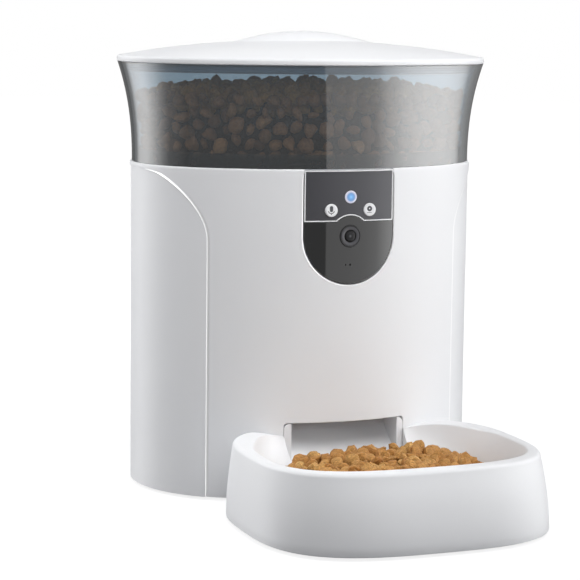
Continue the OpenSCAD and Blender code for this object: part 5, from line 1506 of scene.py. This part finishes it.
floor_mesh = bpy.data.meshes.new("studio_floor")
floor_mesh.from_pydata([(FLOOR_R * math.cos(a), FLOOR_R * math.sin(a), 0.0)
                        for a in np.arange(FLOOR_SIDES) * 2 * math.pi / FLOOR_SIDES],
                       [], [tuple(range(FLOOR_SIDES))])
floor = in_scene("studio_floor", floor_mesh)
floor.visible_glossy = False
# Matt white paper: a little greyer by the feeder, where the soft shadow lies, and pure white further out.
floor_white, tree, mm = new_finish("floor_white_matt")
own, share = white_for(tree)
seen = add(tree, "ShaderNodeMath", {0: own, 1: share}, operation="MULTIPLY")
away = add(tree, "ShaderNodeVectorMath", {0: mm}, operation="LENGTH")
fade = add(tree, "ShaderNodeMapRange", {"Value": away.outputs["Value"], "From Min": SHADE_FROM_MM,
                                        "From Max": SHADE_TO_MM, "To Min": SHADE_LEVEL, "To Max": 1.0},
           interpolation_type="SMOOTHSTEP")
lift = add(tree, "ShaderNodeMath", {0: seen.outputs["Value"], 1: fade.outputs["Result"]},
           operation="MULTIPLY")
paint = add(tree, "ShaderNodeBsdfDiffuse", {"Color": tint("#8A8A8C")})
glow = add(tree, "ShaderNodeEmission", {"Color": tint("#FFFFFF"), "Strength": lift.outputs["Value"]})
both = add(tree, "ShaderNodeAddShader", {0: paint.outputs["BSDF"], 1: glow.outputs["Emission"]})
add(tree, "ShaderNodeOutputMaterial", {"Surface": both.outputs["Shader"]})
floor_mesh.materials.append(floor_white)
print("floor of", 2 * FLOOR_R, "m")

# %% Low card
# A low card stands in front of the bowl. It can't be seen; it only keeps the lamps off the bowl's front,
# the greyest white face in the picture. It stands far enough out for the bowl to be pulled forward.
CARD_Y, CARD_FOOT, CARD_HIGH, CARD_X = -0.30, 0.001, 0.11, (-0.22, 0.34)
card_mesh = bpy.data.meshes.new("low_card")
card_z = (CARD_FOOT, CARD_FOOT, CARD_HIGH, CARD_HIGH)
card_mesh.from_pydata([(x, CARD_Y, z) for x, z in zip(CARD_X + CARD_X[::-1], card_z)], [], [(0, 1, 2, 3)])
card_mesh.materials.append(abs_black)
low_card = in_scene("low_card", card_mesh)
low_card.visible_camera = low_card.visible_diffuse = low_card.visible_glossy = False
low_card.visible_transmission = False
print("low card", CARD_HIGH, "m high at Y", CARD_Y, "m")

# %% World and lamps
FILL, BEHIND, AIM_Z = 0.08, 0.9, 0.14
world = bpy.data.worlds.new("studio")
bpy.context.scene.world = world
world.use_nodes = True
tree = world.node_tree
tree.nodes.clear()
own, share = white_for(tree)
mirrored_ray = add(tree, "ShaderNodeLightPath").outputs["Is Glossy Ray"]
mirror = add(tree, "ShaderNodeMix", {"Factor": mirrored_ray, 2: FILL, 3: BEHIND})
level_out = add(tree, "ShaderNodeMix", {"Factor": own, 2: mirror.outputs[0], 3: share})
sky = add(tree, "ShaderNodeBackground", {"Color": tint("#FFFFFF"), "Strength": level_out.outputs[0]})
add(tree, "ShaderNodeOutputWorld", {"Surface": sky.outputs["Background"]})


def lamp(name, bearing, distance, height, size, power):
    """A broad area lamp that looks at the feeder; mirrors don't see it, the screens do that job."""
    data = bpy.data.lights.new(name, "AREA")
    data.shape, data.size, data.size_y, data.energy = "RECTANGLE", size[0], size[1], power
    made = in_scene(name, data)
    a = math.radians(bearing)
    made.location = (distance * math.sin(a), -distance * math.cos(a), height)
    made.rotation_euler = (Vector((0, 0, AIM_Z)) - made.location).to_track_quat("-Z", "Y").to_euler()
    made.visible_camera = made.visible_glossy = made.visible_transmission = False
    print(name, power, "W")


# The key light from the right, a weaker one from the left, and one from behind for the rear shell's edge.
lamp("key_right", 65, 1.5, 0.7, (0.9, 1.0), 12.4)
lamp("side_left", -85, 1.5, 0.7, (0.9, 1.2), 4.9)
lamp("rim_left", -140, 1.5, 0.7, (0.9, 1.2), 18.4)
# Lid, bowl and chute are lit from above and in front.
lamp("top_near", 0, 0.45, 1.1, (0.8, 0.5), 5.2)
lamp("front_high", 10, 1.0, 1.2, (0.7, 0.5), 4.3)
lamp("front_low", -10, 1.2, 0.45, (0.9, 0.3), 2.15)
bpy.context.scene.view_settings.view_transform = "Standard"
